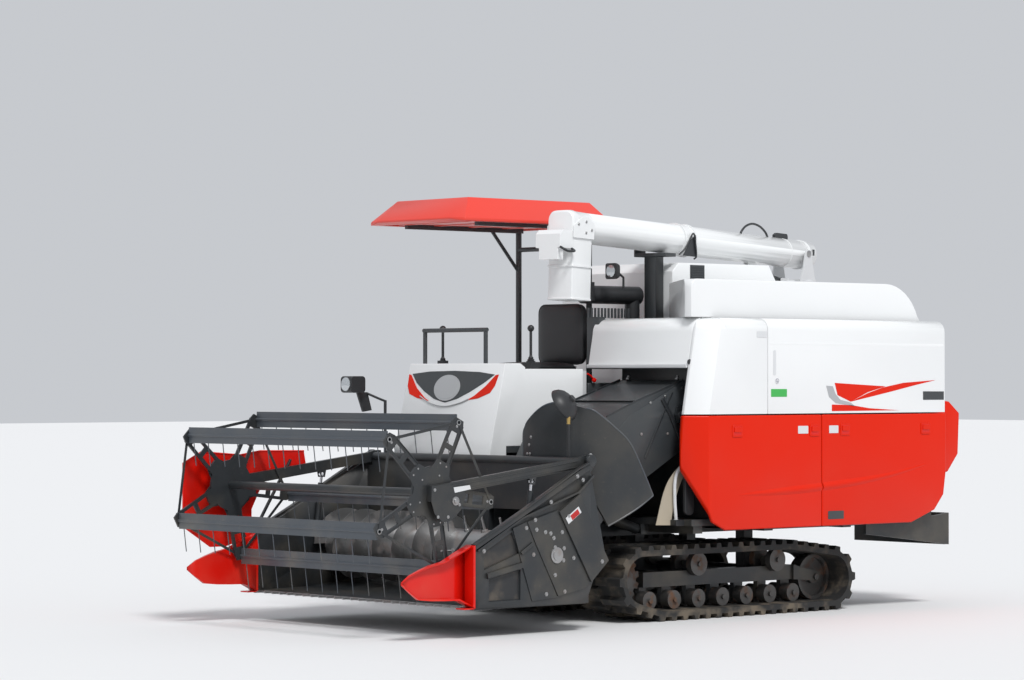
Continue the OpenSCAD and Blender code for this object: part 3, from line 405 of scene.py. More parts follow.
# %% A skin that holds many surfaces
class Skin:
    """Surfaces gathered into one mesh, so that a row of bolts is one piece."""

    def __init__(self, *surfaces):
        self.points, self.faces, self.count = [], [], 0
        self.add(*surfaces)

    def add(self, *surfaces, ring=True):
        """Quads between the stations of each surface. A ring's profile and ends are closed."""
        for surface in surfaces:
            p = np.asarray(surface, float)
            p = p.reshape(-1, *p.shape[-3:])
            at = np.arange(p[..., 0].size).reshape(p.shape[:3]) + self.count
            self.count += at.size
            self.points.append(p.reshape(-1, 3))
            if ring:
                self.faces.append(at[:, [0, -1]].reshape(-1, at.shape[2]))
                at = np.concatenate([at, at[:, :, :1]], 2)
            corners = [at[:, :-1, :-1], at[:, :-1, 1:], at[:, 1:, 1:], at[:, 1:, :-1]]
            self.faces.append(np.stack(corners, -1).reshape(-1, 4))
        return self

    def both(self):
        """The same surfaces again on the machine's other side, with -y for y."""
        self.points.append(np.concatenate(self.points) * [1, -1, 1])
        self.faces += [face + self.count for face in self.faces]
        self.count *= 2
        return self

    def make(self, name, finish, body, rounding=0.0, angle=35):
        """One object from all the surfaces, its faces turned outwards and its edges rounded."""
        mesh = bpy.data.meshes.new(name)
        points = (np.concatenate(self.points) - frame_origin) / 1000
        sizes = np.concatenate([np.full(len(f), f.shape[1]) for f in self.faces])
        corners = np.concatenate([f.ravel() for f in self.faces])
        mesh.vertices.add(len(points))
        mesh.vertices.foreach_set("co", points.ravel())
        mesh.loops.add(len(corners))
        mesh.loops.foreach_set("vertex_index", corners)
        mesh.polygons.add(len(sizes))
        mesh.polygons.foreach_set("loop_start", np.cumsum(sizes) - sizes)
        mesh.update(calc_edges=True)
        turn_out = bmesh.new()
        turn_out.from_mesh(mesh)
        bmesh.ops.recalc_face_normals(turn_out, faces=turn_out.faces)
        turn_out.to_mesh(mesh)
        turn_out.free()
        piece = link(name, mesh, finish, body)
        mesh.shade_smooth()
        if rounding:
            round_edges(piece, rounding / 1000)
        else:
            mesh.set_sharp_from_angle(angle=math.radians(angle))
        print(name, len(sizes), "faces on", body)
        return piece


def bolt(centre, axis, r=9.0, h=7.0):
    """A hexagon head on its washer, turned with six sides."""
    profile = [[1.55 * r, 0], [1.55 * r, 0.22 * h], [r, 0.22 * h], [r, 0.9 * h], [0.86 * r, h]]
    return turned(profile, centre, axis, 6)


def bolts(centres, axis, r=9.0, h=7.0):
    return spread(bolt((0, 0, 0), axis, r, h), centres)


# %% [markdown]
# ## The header's auger
# The crop is drawn to the feeder by two screws of opposite hand. Each flight is a thin rectangle
# carried along a helix, y = y0 + p t / 2 pi, and between them stand the fingers that push the crop
# into the feeder house.

# %% Drum, flights and fingers
auger_x, auger_z = 1345.0, 470.0
auger_at = np.array([auger_x, 0, auger_z])


def flight(y0, y1, pitch=195):
    """X(t, v) = (xc + r cos t, y0 + p t / 2 pi + dy, zc + r sin t), [r, dy] on a thin rectangle."""
    turns, way = abs(y1 - y0) / pitch, np.sign(y1 - y0)
    t = np.linspace(0, 2 * np.pi * turns * way, int(36 * turns))[:, None]
    r, dy = np.array([[127, -2.5], [225, -1.5], [225, 1.5], [127, 2.5]]).T
    y = y0 + np.abs(t) / (2 * np.pi) * pitch * way + dy
    return np.stack([auger_x + r * np.cos(t), y, auger_z + r * np.sin(t)], -1)


drum = [[22, -1049], [22, -1007], [116, -1005], [130, -995], [130, 995], [116, 1005], [22, 1007],
        [22, 1049]]
screws = Skin(turned(drum, auger_at, Y, 40), flight(-990, 215), flight(990, 690))
stands_for(screws.make("auger_flights", steel, "header_auger"), "header_auger")
finger = [[19, 122], [19, 138], [9, 142], [8, 222], [5, 224]]
fingers = Skin()
for y, angle in zip(np.linspace(270, 640, 12), np.arange(12) * 2 * np.pi / 5):
    fingers.add(turned(finger, auger_at + y * Y, (np.cos(angle), 0, np.sin(angle)), 10))
fingers.make("auger_fingers", steel, "header_auger")

# %% [markdown]
# ## The reel's hubs and ties
# At each end of the reel a plate with twenty corners carries the ladder arms, whose edges are
# folded outwards, and flat ties join the tips of neighbouring arms. All of it is told by one
# formula: a point at (r, a) about the shaft lies at x = xc + r cos a, z = zc + r sin a.

# %% Hub plates, folded arm edges, ties and bolts
reel_x, reel_z, reel_r, hub_y = 2240.0, 861.0, 455.0, 984.0
tip_turn = np.radians(44 + 72 * np.arange(5))


def about_reel(r, turn, y):
    """(xc + r cos a, y, zc + r sin a)."""
    r, turn = np.broadcast_arrays(np.asarray(r, float), turn)
    return np.stack([reel_x + r * np.cos(turn), np.full(r.shape, float(y)),
                     reel_z + r * np.sin(turn)], -1)


corner_turn = (tip_turn[:, None] + np.radians([-30, -14, 14, 30])).ravel()
hubs = Skin(plate(about_reel(np.tile([150, 205, 205, 150], 5), corner_turn, hub_y), 4 * Y))
tips = about_reel(reel_r, tip_turn, hub_y + 2)
middle = np.array([reel_x, hub_y + 2.5, reel_z])
for i, angle in enumerate(tip_turn):
    out = np.array([np.cos(angle), 0, np.sin(angle)])
    across = np.array([-out[2], 0, out[0]])
    for way in (-1, 1):
        edge = [middle + 204 * out + way * 48 * across, middle + 445 * out + way * 44 * across]
        hubs.add(carried(edge, rounded(5, 5, 1.5), up=Y))
    hubs.add(carried([tips[i], tips[(i + 1) % 5]], rounded(18, 3, 1), up=Y))
hubs.add(turned([[60, 988], [60, 990], [44, 991], [44, 993]], (reel_x, 0, reel_z), Y))
hubs.both().make("reel_hubs", black, "reel")
hub_bolts = Skin()
for r, shift, y in ((112, 0.0, 987), (182, 0.14, 987), (182, -0.14, 987), (430, 0.0, 984)):
    hub_bolts.add(bolts(about_reel(r, tip_turn + shift, y), Y, 6, 3))
hub_bolts.add(spread(turned([[16, 0], [16, 3], [9, 4]], (0, 0, 0), Y, 16), tips))
hub_bolts.both().make("reel_bolts", steel, "reel")

# %% [markdown]
# ## The header's sides
# A header side is a pressed sheet, stiffened by a folded channel along its sloping top and by
# plates bolted over it. Each plate is an outline carried over its own thickness. The strip at its
# top edge is what catches the sun, so it is a rounded bar of its own.

# %% Folded channel, plates and strut
header_y = 1063.0
Skin(
    carried(from_side([(2006, 553), (1618, 747), (1174, 981), (1070, 1022)], header_y + 13),
            rounded(34, 8, 3)),
    carried(from_side([(1969, 516), (1618, 700), (1163, 841), (1038, 940)], header_y + 9),
            rounded(18, 12, 3)),
    slab([(1689, 641), (1577, 676), (1495, 529), (1330, 217), (1536, 204), (1618, 435)],
         header_y, 7),
    slab([(1577, 676), (1330, 740), (1062, 299), (1122, 262), (1330, 225), (1516, 553)],
         header_y, 13),
    slab([(1163, 834), (927, 424), (1069, 299), (1289, 660), (1330, 730)], header_y, 26),
    slab([(1078, 1008), (1062, 1056), (1014, 1008), (1052, 960)], header_y - 27, 26),
    carried(from_side([(1892, 366), (1612, 420)], header_y + 3), rounded(26, 34, 5)),
    carried(from_side([(1628, 490), (1534, 546)], header_y + 14), rounded(12, 20, 4)),
).both().make("header_plates", black, "header", rounding=2.5)
# The black sheets behind the side's two openings are painted shade: they stand for the dark inside
# seen through the openings.
Skin(slab([(1906, 409), (1906, 503), (1691, 614), (1634, 490)], header_y - 16, 1.5),
     slab([(1865, 345), (1865, 219), (1627, 219), (1627, 389)], header_y - 16, 1.5),
     ).both().make("header_opening_shade", plastic, "header")

# %% Bolts and reflectors of the header's sides
bolt_rows = (
    (13, 7, [(1516, 686), (1505, 628), (1434, 611), (1392, 602), (1299, 607), (1367, 574),
             (1356, 517), (1284, 510), (1320, 481), (1289, 438), (1205, 449), (1356, 352),
             (1278, 250)]),
    (22, 7, [(1397, 790), (1137, 917), (1182, 940), (1929, 515)]),
    (26, 4, [(982, 420), (1257, 700)]),
    (7, 7, [(1524, 480), (1582, 640), (1422, 240)]),
)
side_bolts = Skin(*(bolts(from_side(row, header_y + y), Y, 9, high) for y, high, row in bolt_rows))
auger_bearing = [[48, 12], [48, 20], [34, 23], [34, 28], [20, 29]]
side_bolts.add(turned(auger_bearing, auger_at + header_y * Y, Y))
side_bolts.both().make("header_bolts", steel, "header")
Skin(slab([(1284, 690), (1179, 758), (1155, 722), (1260, 654)], header_y + 26, 2.5)).both().make(
    "reflector_base", pale, "header", rounding=1)
Skin(slab([(1248, 704), (1188, 743), (1169, 716), (1229, 677)], header_y + 28, 2)).both().make(
    "reflector_red", lens_red, "header", rounding=0.8)

# %% [markdown]
# ## The dividers
# Each red divider parts the standing crop in front of the header. It is a scoop: an inner wall
# whose edges are folded outwards, deeper towards the rear. So its profile, an open channel, is
# carried from the tip to the rear and grows on the way.

# %% Scoops with folded edges
edge_top = np.array([(2527, 352), (2462, 392), (2384, 420), (2312, 441), (2209, 460), (2102, 509),
                     (2001, 552)], float)
edge_low = np.array([(2527, 336), (2462, 288), (2401, 247), (2312, 238), (2209, 234), (2102, 232),
                     (2001, 184)], float)
inner_y = np.array([1043, 1037, 1031, 1025, 1019, 1013, 1010], float)
outer_y = inner_y + [6, 14, 22, 32, 42, 54, 66]


def scoop(lip=10.0):
    """Stations along the divider; across each one: top lip, down the inner wall, bottom lip."""
    (top_x, top_z), (low_x, low_z) = edge_top.T, edge_low.T
    rows = [(top_x, outer_y, top_z - lip), (top_x, outer_y, top_z), (top_x, inner_y, top_z),
            (low_x, inner_y, low_z), (low_x, outer_y, low_z), (low_x, outer_y, low_z + lip)]
    return np.stack([np.stack(row, 1) for row in rows], 1)


scoops = Skin().add(scoop(), ring=False)
scoops.add(slab([(2001, 184), (2001, 552), (2015, 545), (2015, 190)], 1010, 80),
           slab([(2082, 178), (2082, 184), (2002, 184), (2002, 178)], 1010, 74))
scoop_piece = scoops.both().make("divider_scoops", deep_red, "header")
wall = scoop_piece.modifiers.new("sheet thickness", "SOLIDIFY")
wall.thickness, wall.offset = 0.003, 0.0
stands_for(scoop_piece, "dividers")

# %% [markdown]
# ## Trim on the side covers
# The doors of the covers close with paddle latches in shallow frames. The coloured stripes are thin
# film, and the plates are blank. All of them lie on the cover's flat face, so each is an outline on
# that plane with a thickness of a millimetre or two.

# %% Latches, and the seam painted as a pale highlight
cover_y = 1007.0


def rounded_slab(x, z, w, h, y, thick, r):
    """A w by h plate with round corners about (x, z), which reaches from y to y + thick."""
    return slab(rounded(w, h, r) + [x, z], y, thick)


latches = ((-265, 1196), (-978, 1194), (-1267, 1196), (-2058, 1196))
Skin(*(rounded_slab(x, z, 92, 78, cover_y, 5, 10) for x, z in latches)).make(
    "latch_frames", red, "root", rounding=2)
Skin(*(rounded_slab(x, z, 70, 56, cover_y + 4.5, 1, 6) for x, z in latches)).make(
    "latch_wells", deep_red, "root")
Skin(*(rounded_slab(x, z + 8, 62, 34, cover_y + 5, 6, 6) for x, z in latches)).make(
    "latch_paddles", red, "root", rounding=2)
# The pale strip along the split of the lower covers is a painted highlight where the doors' edges
# catch the sun.
Skin(carried(from_side([(-1050, 574), (-1050, 1292)], cover_y - 2), rounded(5, 8, 2))).make(
    "seam_highlight_strip", pale, "root")

# %% Stripes and blank plates
stripe_shapes = {
    "stripe_block": (red, [(-1170, 1500), (-1662, 1477), (-1487, 1438), (-1323, 1377),
                           (-1197, 1420)]),
    "stripe_upper": (red, [(-1323, 1377), (-1487, 1432), (-1634, 1469), (-1839, 1500),
                           (-2160, 1518), (-1952, 1484), (-1727, 1444), (-1542, 1413)]),
    "stripe_lower": (red, [(-1143, 1359), (-1323, 1355), (-1505, 1333), (-1792, 1318),
                           (-1143, 1316)]),
    "stripe_hook": (silver, [(-1089, 1482), (-1152, 1478), (-1179, 1427), (-1224, 1390),
                             (-1323, 1371), (-1368, 1346), (-1179, 1368), (-1116, 1408)]),
    "blank_plate": (dark, [(-2036, 1443), (-2246, 1442), (-2246, 1386), (-2036, 1386)]),
}
for name, (finish, outline) in stripe_shapes.items():
    Skin(slab(outline, cover_y, 1.2)).make(name, finish, "side_door")
Skin(rounded_slab(-871, 1198, 95, 50, cover_y, 2, 5),
     rounded_slab(-1160, 1198, 88, 50, cover_y, 2, 5),
     ).make("small_plates", pale, "root", rounding=0.6)
Skin(rounded_slab(-1180, 640, 150, 54, cover_y, 2, 5)).make(
    "lower_plate", dark, "root", rounding=0.6)
Skin(rounded_slab(-491, 1810, 96, 40, cover_y, 2, 5),
     rounded_slab(-607, 1630, 24, 160, cover_y, 2, 8),
     ).make("cover_labels", pale, "side_door", rounding=0.6)
Skin(rounded_slab(-647, 1436, 146, 50, cover_y, 1.5, 3)).make(
    "green_label", green, "side_door", rounding=0.5)
Skin(turned([[17, 0], [17, 4], [12, 5], [9, 3]], (-629, cover_y, 1513), Y)).make(
    "door_lock", chrome, "side_door")

# %% [markdown]
# ## The unloading tube
# The white tube is rolled from sheet, in lengths that meet at a clamped flange. Its fittings are
# drawn in the tube's own axes, s along it, b to its left and h above it, and then turned with it:
# X = P + (s cos e - h sin e) A + b B + (s sin e + h cos e) Z, with e its rise of 2.2 degrees.

# %% The tube's axes
tube_rise, park = math.radians(2.2), math.radians(10)
tower_x, tower_y, tube_pivot_z = -2230, -370, 2405.0
across = np.array([-math.sin(park), math.cos(park), 0])


def from_tower(s, b, z):
    """T + s A + b B at the height z, with A along the parked tube and B to its left."""
    s, b, z = np.broadcast_arrays(s, b, np.asarray(z, float))
    return np.stack([tower_x + s * math.cos(park) - b * math.sin(park),
                     tower_y + s * math.sin(park) + b * math.cos(park), z], -1)


def on_tube(surface):
    """From (s, b, h) to the machine's axes."""
    s, b, h = np.moveaxis(np.asarray(surface, float), -1, 0)
    return from_tower(s * math.cos(tube_rise) - h * math.sin(tube_rise), b,
                      tube_pivot_z + (s * math.sin(tube_rise) + h * math.cos(tube_rise)))


# %% Bands, cap, pipes and bracket
tube_bands = Skin()
for profile in ([[99, 1325], [112, 1325], [112, 1340], [104, 1341], [104, 1441], [112, 1442],
                 [112, 1457], [99, 1457]],
                [[99, -70], [105, -69], [105, -47], [99, -46]],
                [[99, 156], [101.5, 157], [101.5, 165], [99, 166]],
                [[99, -140], [98, -152], [92, -163], [76, -171], [45, -176], [1, -178]]):
    tube_bands.add(on_tube(turned(profile, (0, 0, 0), X, 40)))
tube_bands.make("tube_bands", white, "unloading_tube")
fittings = (
    pipe([(700, 30, 92), (690, 30, 112), (640, 30, 150), (560, 30, 172), (470, 30, 160),
          (400, 30, 125), (372, 30, 92)], 8, 12),
    slab([(90, 94), (250, 94), (250, 120), (225, 135), (100, 135), (90, 120)], -12, 24),
    slab([(1490, -112), (1440, -55), (1400, 0), (1345, 35), (1330, -112)], 106, 6),
    pipe([(1520, 100, -108), (1470, 117, -60), (1410, 117, 20), (1384, 118, 42), (1368, 119, 10),
          (1352, 119, -60), (1338, 112, -110), (1330, 88, -125)], 6, 10),
    plate([(-120, 96, -5), (-98, 97, -5), (-98, 97, 38), (-120, 96, 38)], 5 * Y),
    pipe([(2700, 100, -150), (2705, 128, -166), (2775, 134, -172), (2815, 126, -160),
          (2818, 100, -146)], 8, 12, up=Z),
)
Skin(*map(on_tube, fittings)).make("tube_fittings", black, "unloading_tube", rounding=1.5)

# %% Spout: a square pipe below a head whose section goes from round to square
spout_rings = ((204, 196, 10, -20), (204, 196, 10, -250), (218, 210, 12, -251),
               (218, 210, 12, -264), (204, 196, 10, -265), (204, 196, 10, -460),
               (210, 202, 10, -462), (210, 202, 10, -474), (192, 184, 6, -474),
               (192, 184, 6, -60))
chute = np.stack([ring_at(w, d, r, 2582, 0, h) for w, d, r, h in spout_rings])
head_s, half_b, half_h, power = np.array([
    (2455, 101, 101, 1.0), (2600, 103, 103, 0.9), (2640, 105, 105, 0.6), (2680, 104, 100, 0.5),
    (2694, 96, 88, 0.5), (2696, 80, 70, 0.5)]).T[..., None]
v = np.arange(40) * 2 * np.pi / 40
wave_b, wave_h = (np.sign(wave) * np.abs(wave) ** power for wave in (np.cos(v), np.sin(v)))
head = np.stack(np.broadcast_arrays(head_s, half_b * wave_b, half_h * wave_h), -1)
head_side = [(2472, -78), (2472, 20), (2540, 62), (2600, 62), (2690, 0), (2690, -78)]
spout_parts = (
    chute, head, slab(head_side, -108, 6), slab(head_side, 102, 6),
    slab([(2676, -34), (2790, -34), (2820, -62), (2820, -150), (2676, -150)], -98, 196),
    slab([(2760, -148), (2820, -148), (2820, -226), (2760, -226)], -70, 150),
)
spout = Skin(*map(on_tube, spout_parts))
stands_for(spout.make("spout_sheet", white, "unloading_tube", rounding=5), "auger_spout")
spout_bolts = bolts([(2560, 108, 30), (2560, 108, -40), (2640, 108, 10), (2500, 108, -20)], Y, 7, 6)
Skin(*map(on_tube, spout_bolts)).make("spout_bolts", steel, "unloading_tube")

# %% Turret
turret_z = 2160.3
cheek = np.array([(-88, 40), (108, 40), (60, 150), (38, 236), (26, 268), (-26, 268), (-38, 236),
                  (-60, 150)]).T
bed = np.array([(-90, -132), (110, -132), (110, 132), (-90, 132)]).T
ear = np.array([(100, 30), (190, 30), (202, 44), (202, 66), (196, 72), (100, 72)]).T
bearing = [[140, 0], [140, 54], [132, 60], [1, 60]]
turret = Skin(turned(bearing, (tower_x, tower_y, turret_z), Z, 48))
for b in (-131, 117):
    turret.add(plate(from_tower(cheek[0], b, turret_z + cheek[1]), 14 * across))
turret.add(plate(from_tower(bed[0], bed[1], turret_z + 40), 25 * Z))
for b in (-34, 26):
    turret.add(plate(from_tower(ear[0], b, turret_z + ear[1]), 8 * across))
stands_for(turret.make("turret_plates", pale, "turret", rounding=2), "auger_turret")
pin_head = [[24, 0], [24, 5], [14, 8], [1, 8]]
Skin(*(turned(pin_head, from_tower(0, 131 * way, tube_pivot_z), way * across, 20)
       for way in (1, -1))).make("turret_pins", steel, "turret")

# %% [markdown]
# ## Work lamps
# The near lamp is a round dish on a plated stem, turned down towards the auger, so its back is what
# the camera sees. The far one is a square lamp, with a dark plate hung below it.

# %% Dish, square lamp and lenses
dish_at, dish_axis = (1027, 866, 1404), (0.324, -0.763, -0.559)
dish = [[1, 0], [26, 2], [54, 10], [80, 24], [99, 44], [108, 64], [110, 70], [106, 74], [100, 70],
        [92, 52], [60, 44], [1, 42]]
lamp_piece = Skin(
    turned(dish, dish_at, dish_axis, 36),
    turned([[22, -14], [24, 10]], dish_at, dish_axis, 16),
    carried([(1068, 880, 1050), (1068, 880, 1262)], circle(10, 14), up=Y),
    carried([(1068, -880, 1050), (1068, -880, 1388)], circle(10, 14), up=Y),
    pipe([(1068, -880, 1382), (1080, -930, 1398), (1122, -1000, 1432)], 8, 12, up=Z),
    slab(rounded(118, 108, 24, 4) + [1236, 1490], -1060, 112),
    slab([(1206, 1440), (1120, 1440), (1084, 1322), (1156, 1312)], -1014, 18),
).make("lamp_shells", plastic, "header", rounding=3)
stands_for(lamp_piece, "work_lamps")
Skin(pipe([(1046, 872, 1378), (1062, 878, 1330), (1068, 880, 1250)], 11, 14)).make(
    "lamp_stem", brass, "header")
Skin(turned([[1, 55], [60, 57], [97, 62], [99, 68]], dish_at, dish_axis, 36),
     turned([[44, 0], [44, 6], [36, 9], [1, 11]], (1294, -1004, 1492), (1, 0, 0.05), 28),
     ).make("lamp_lenses", glass, "header")

# %% [markdown]
# ## Console and hood
# The console's front is a plane that leans back, so its panel is drawn on that plane: y across and
# d up the slope. The oval plate stays blank.

# %% Front panel with a blank badge
front_foot = np.array([1010, 0, 1041])
up_front, out_of_front = np.array([-0.2331, 0, 0.9724]), np.array([0.9724, 0, 0.2331])


def on_front(points, t):
    """P = F + d U + t N + y Y: the point [y, d] of the front plane, and t in front of it."""
    y, d = np.asarray(points, float).T[..., None]
    return front_foot + d * up_front + t * out_of_front + y * Y


def on_front_plate(outline, t=0, thick=2.5):
    return plate(on_front(outline, t), thick * out_of_front)


Skin(on_front_plate([(-819, 532), (-649, 548), (-401, 552), (-154, 544), (-5, 527), (-96, 472),
                     (-216, 413), (-331, 367), (-443, 342), (-559, 366), (-674, 418), (-759, 471)]),
     ).make("console_panel", dark, "root", rounding=0.8)
Skin(on_front_plate([(-852, 530), (-830, 525), (-750, 438), (-651, 372), (-605, 352), (-731, 371),
                     (-815, 398), (-846, 451)]),
     on_front_plate([(34, 527), (5, 524), (-72, 453), (-170, 387), (-240, 357), (-127, 371),
                     (-21, 407), (15, 453)])).make("console_cheeks", red, "root", rounding=0.8)
rim_line = on_front(curve([(-700, 384), (-591, 339), (-436, 317), (-294, 340), (-214, 366)], 10), 1)
Skin(carried(rim_line, rounded(7, 15, 3), up=out_of_front)).make("console_rim", silver, "root")
oval_turn = np.arange(48) * 2 * np.pi / 48
oval = np.stack([np.cos(oval_turn), np.sin(oval_turn)], 1)
Skin(on_front_plate([-445, 439] + [127, 86] * oval, 2, 4),
     on_front_plate([-445, 439] + [112, 72] * oval, 5, 2),
     ).make("blank_badge", silver, "root", rounding=1.2)

# %% Hood lip, knob and seams, with a dark strip painted as the lip's shadow
Skin(carried([(57, -40, 1608), (57, 880, 1608)], rounded(16, 24, 4))).make(
    "hood_lip", pale, "root", rounding=1)
hood_line = from_side([(-69, 1914), (-27, 1869), (-2, 1810), (24, 1714), (34, 1625)], 885)
Skin(turned([[16, 0], [18, 4], [16, 12], [8, 14]], (40, 888, 1633), (0.4, 0.9, 0), 20),
     # The dark strip just below the lip is a painted shadow of the lip.
     carried([(57, -30, 1593), (57, 872, 1593)], rounded(10, 6, 2)),
     pipe(hood_line, 2.2, 8, steps=8)).make("hood_seams_and_lip_shadow", plastic, "root")

# %% [markdown]
# ## Pressed lines of the side covers
# The lower covers have a crease that is widest in its middle, w(u) = 5 + 22 sin(pi u), and the
# white covers have a fold that runs the whole length.

# %% Crease and folds
crease = Skin()
section = np.array([[0, -1], [1, -0.5], [1.6, 0], [1, 0.5], [0, 1], [-1, 0]])
for points, start, end in (
        ([(-288, 790), (-480, 797), (-656, 804), (-860, 814), (-1044, 826)], 0.0, 0.62),
        ([(-1056, 827), (-1240, 841), (-1413, 856), (-1736, 896), (-2065, 956)], 0.38, 1.0)):
    line = from_side(curve(points, 10), cover_y)
    wave = np.sin(np.pi * np.linspace(start, end, len(line)))
    size = np.stack([-1 - 6 * wave, 5 + 22 * wave], 1)
    crease.add(carried(line, section * size[:, None]))
crease.make("cover_crease", red, "root", angle=60)
fold = [[0, -9], [1.6, 0], [0, 9], [-3, 0]]
Skin(carried(from_side([(-2240, 1752), (-564, 1752)], cover_y), fold)).make(
    "door_fold", white, "side_door", angle=60)

# %% [markdown]
# ## The feeder house and its shield
# A flat cover widens the feeder house in front. The crop shield is a quarter of a round drum about
# (xs, ys), so a point at radius r with a known x lies at y = ys + sqrt(r^2 - (x - xs)^2).

# %% Feeder cover, edge strips and bolts
Skin(slab([(-56, 1517), (363, 1384), (620, 1288), (800, 1130), (900, 960), (700, 1050),
           (435, 1285)], 152, 596)).make("feeder_cover", dark, "header", rounding=6)
top_line = [(-50, 1519), (363, 1387), (620, 1290)]
Skin(
    carried(from_side(top_line, 156), rounded(16, 5, 2), up=Y),
    carried(from_side(top_line, 744), rounded(16, 5, 2), up=Y),
    carried([(366, 156, 1388), (366, 744, 1388)], rounded(26, 6, 2)),
    carried(from_side([(150, 1400), (81, 1307), (-1, 1154)], 757), rounded(26, 10, 4), up=Y),
    carried(from_side([(60, 1440), (300, 1030)], 754), rounded(14, 4, 2), up=Y),
).make("feeder_trim", black, "header", rounding=1)
feeder_bolts = [(-30, 1470), (120, 1418), (250, 1376), (330, 1180), (100, 1180), (20, 1300)]
lug = [[15, 0], [15, 8], [11, 12], [11, 26], [7, 29]]
Skin(bolts(from_side(feeder_bolts, 752), Y, 7, 6),
     *(turned(lug, (-49, y, 1520), (-0.3, 0, 0.95), 16) for y in (231, 683)),
     ).make("feeder_bolts", steel, "header")

# %% Rolled rim and bolts of the crop shield
shield_x, shield_y, rim_r = 480, 470, 512


def shield_at_x(points):
    """(x, ys + sqrt(r^2 - (x - xs)^2), z) for points [x, z]."""
    x, z = np.asarray(points, float).T
    return np.stack([x, shield_y + np.sqrt(rim_r**2 - (x - shield_x) ** 2), z], -1)


def shield_at_y(points, r=rim_r):
    """(xs + sqrt(r^2 - (y - ys)^2), y, z) for points [y, z]."""
    y, z = np.asarray(points, float).T
    return np.stack([shield_x + np.sqrt(r**2 - (y - shield_y) ** 2), y, z], -1)


Skin(
    pipe(shield_at_x([(860, 1346), (820, 1327), (720, 1228), (626, 1129), (540, 970), (452, 804)]),
         6, 10, steps=8),
    pipe(shield_at_x([(452, 804), (560, 738), (660, 680), (757, 622)]), 6, 10),
    pipe(shield_at_y([(372, 960), (372, 1170), (394, 1228), (432, 1272), (522, 1337), (612, 1375),
                      (760, 1396)]), 6, 10, steps=8),
).make("shield_rim", slate, "header")
shield_bolts = Skin()
bolts_yz = [(455, 1166), (438, 1118), (445, 1062), (420, 1062), (835, 1060), (470, 985)]
for spot in shield_at_y(bolts_yz, rim_r + 2):
    shield_bolts.add(bolt(spot, spot - [shield_x, shield_y, spot[2]], 7, 6))
shield_bolts.make("shield_bolts", steel, "header")

# %% [markdown]
# ## Beside the feeder
# A pale sheet, a bent pipe and a moulded guard stand between the feeder and the front cover, and
# are carried by the body.

# %% Pale sheet, pipe and guard
front_edge = curve([(-44, 1043), (106, 926), (185, 814), (255, 608)], 6)
rear_edge = curve([(124, 604), (97, 736), (27, 886), (-60, 990)], 6)
Skin(slab(np.vstack([front_edge, rear_edge]), 800, 6)).make(
    "inner_sheet", straw_grey, "root", rounding=1)
Skin(pipe([(10, 822, 975), (70, 822, 955), (104, 822, 880), (106, 822, 760), (96, 822, 640)],
          11, 14, steps=8),
     turned([[18, 0], [18, 26], [13, 30]], (95, 822, 612), (0.06, 0, 1), 12),
     ).make("bent_pipe", pale, "root")
Skin(slab(rounded(78, 270, 36, 6) + [22, 800], 846, 26),
     slab([(-250, 600), (130, 600), (130, 640), (-250, 640)], 800, 60),
     ).make("inner_guard", plastic, "root", rounding=6)

# %% [markdown]
# ## Reel arm fittings
# A gusset under each arm's front end holds the reel's bearing, with a bolt and a blank plate.

# %% Gusset, bearing and blank plate
arm_y = 1032
Skin(
    slab([(2286, 902), (2196, 910), (2050, 890), (2020, 842), (2060, 760), (2130, 700), (2200, 690),
          (2262, 740), (2288, 815)], arm_y - 5, 5),
    carried(from_side([(2180, 896), (1600, 968), (1130, 1030)], arm_y - 3), rounded(9, 5, 2), up=Y),
    carried(from_side([(2170, 862), (1600, 934), (1130, 993)], arm_y - 3), rounded(9, 5, 2), up=Y),
).both().make("reel_arm_gussets", black, "reel_arms", rounding=1.5)
Skin(turned([[26, 0], [26, 5], [17, 7], [17, 14], [14, 16]], (2104, arm_y, 812), Y, 20),
     bolts(from_side([(2262, 880), (2238, 722), (2160, 720), (2074, 790)], arm_y), Y, 7, 6),
     ).both().make("reel_arm_bolts", steel, "reel_arms")
Skin(slab([(2119, 892), (1995, 903), (1986, 879), (2110, 860)], arm_y, 1.5)).both().make(
    "reel_arm_plates", pale, "reel_arms")

# %% [markdown]
# ## The seat
# Each cushion is a stack of rings, f(u) P(v) at the height h(u): out along its base, up its side
# and in over its crown. P is a rounded rectangle whose sides pull in between its corners.

# %% Cushions, piping and base
def cushion(w, d, t, crown, r=60.0, pull=0.035):
    """X(u, v) = (f(u) P(v), h(u))."""
    outline = rounded(w, d, r, 7)
    v = np.arctan2(outline[:, 1] / d, outline[:, 0] / w)
    outline = outline * (1 - pull * np.cos(2 * v) ** 2)[:, None]
    f = np.array([0.02, 0.55, 0.93, 1.0, 1.01, 1.0, 0.94, 0.78, 0.5, 0.02])[:, None, None]
    h = np.array([0, 0, 0.04, 0.26, 0.5, 0.76, 0.94, 1.0, 1.0, 1.0]) * t
    h = h + np.array([0, 0, 0, 0, 0, 0, 0, 0.5, 0.88, 1.0]) * crown
    heights = np.broadcast_to(h[:, None, None], (len(h), len(outline), 1))
    return np.concatenate([f * outline, heights], 2)


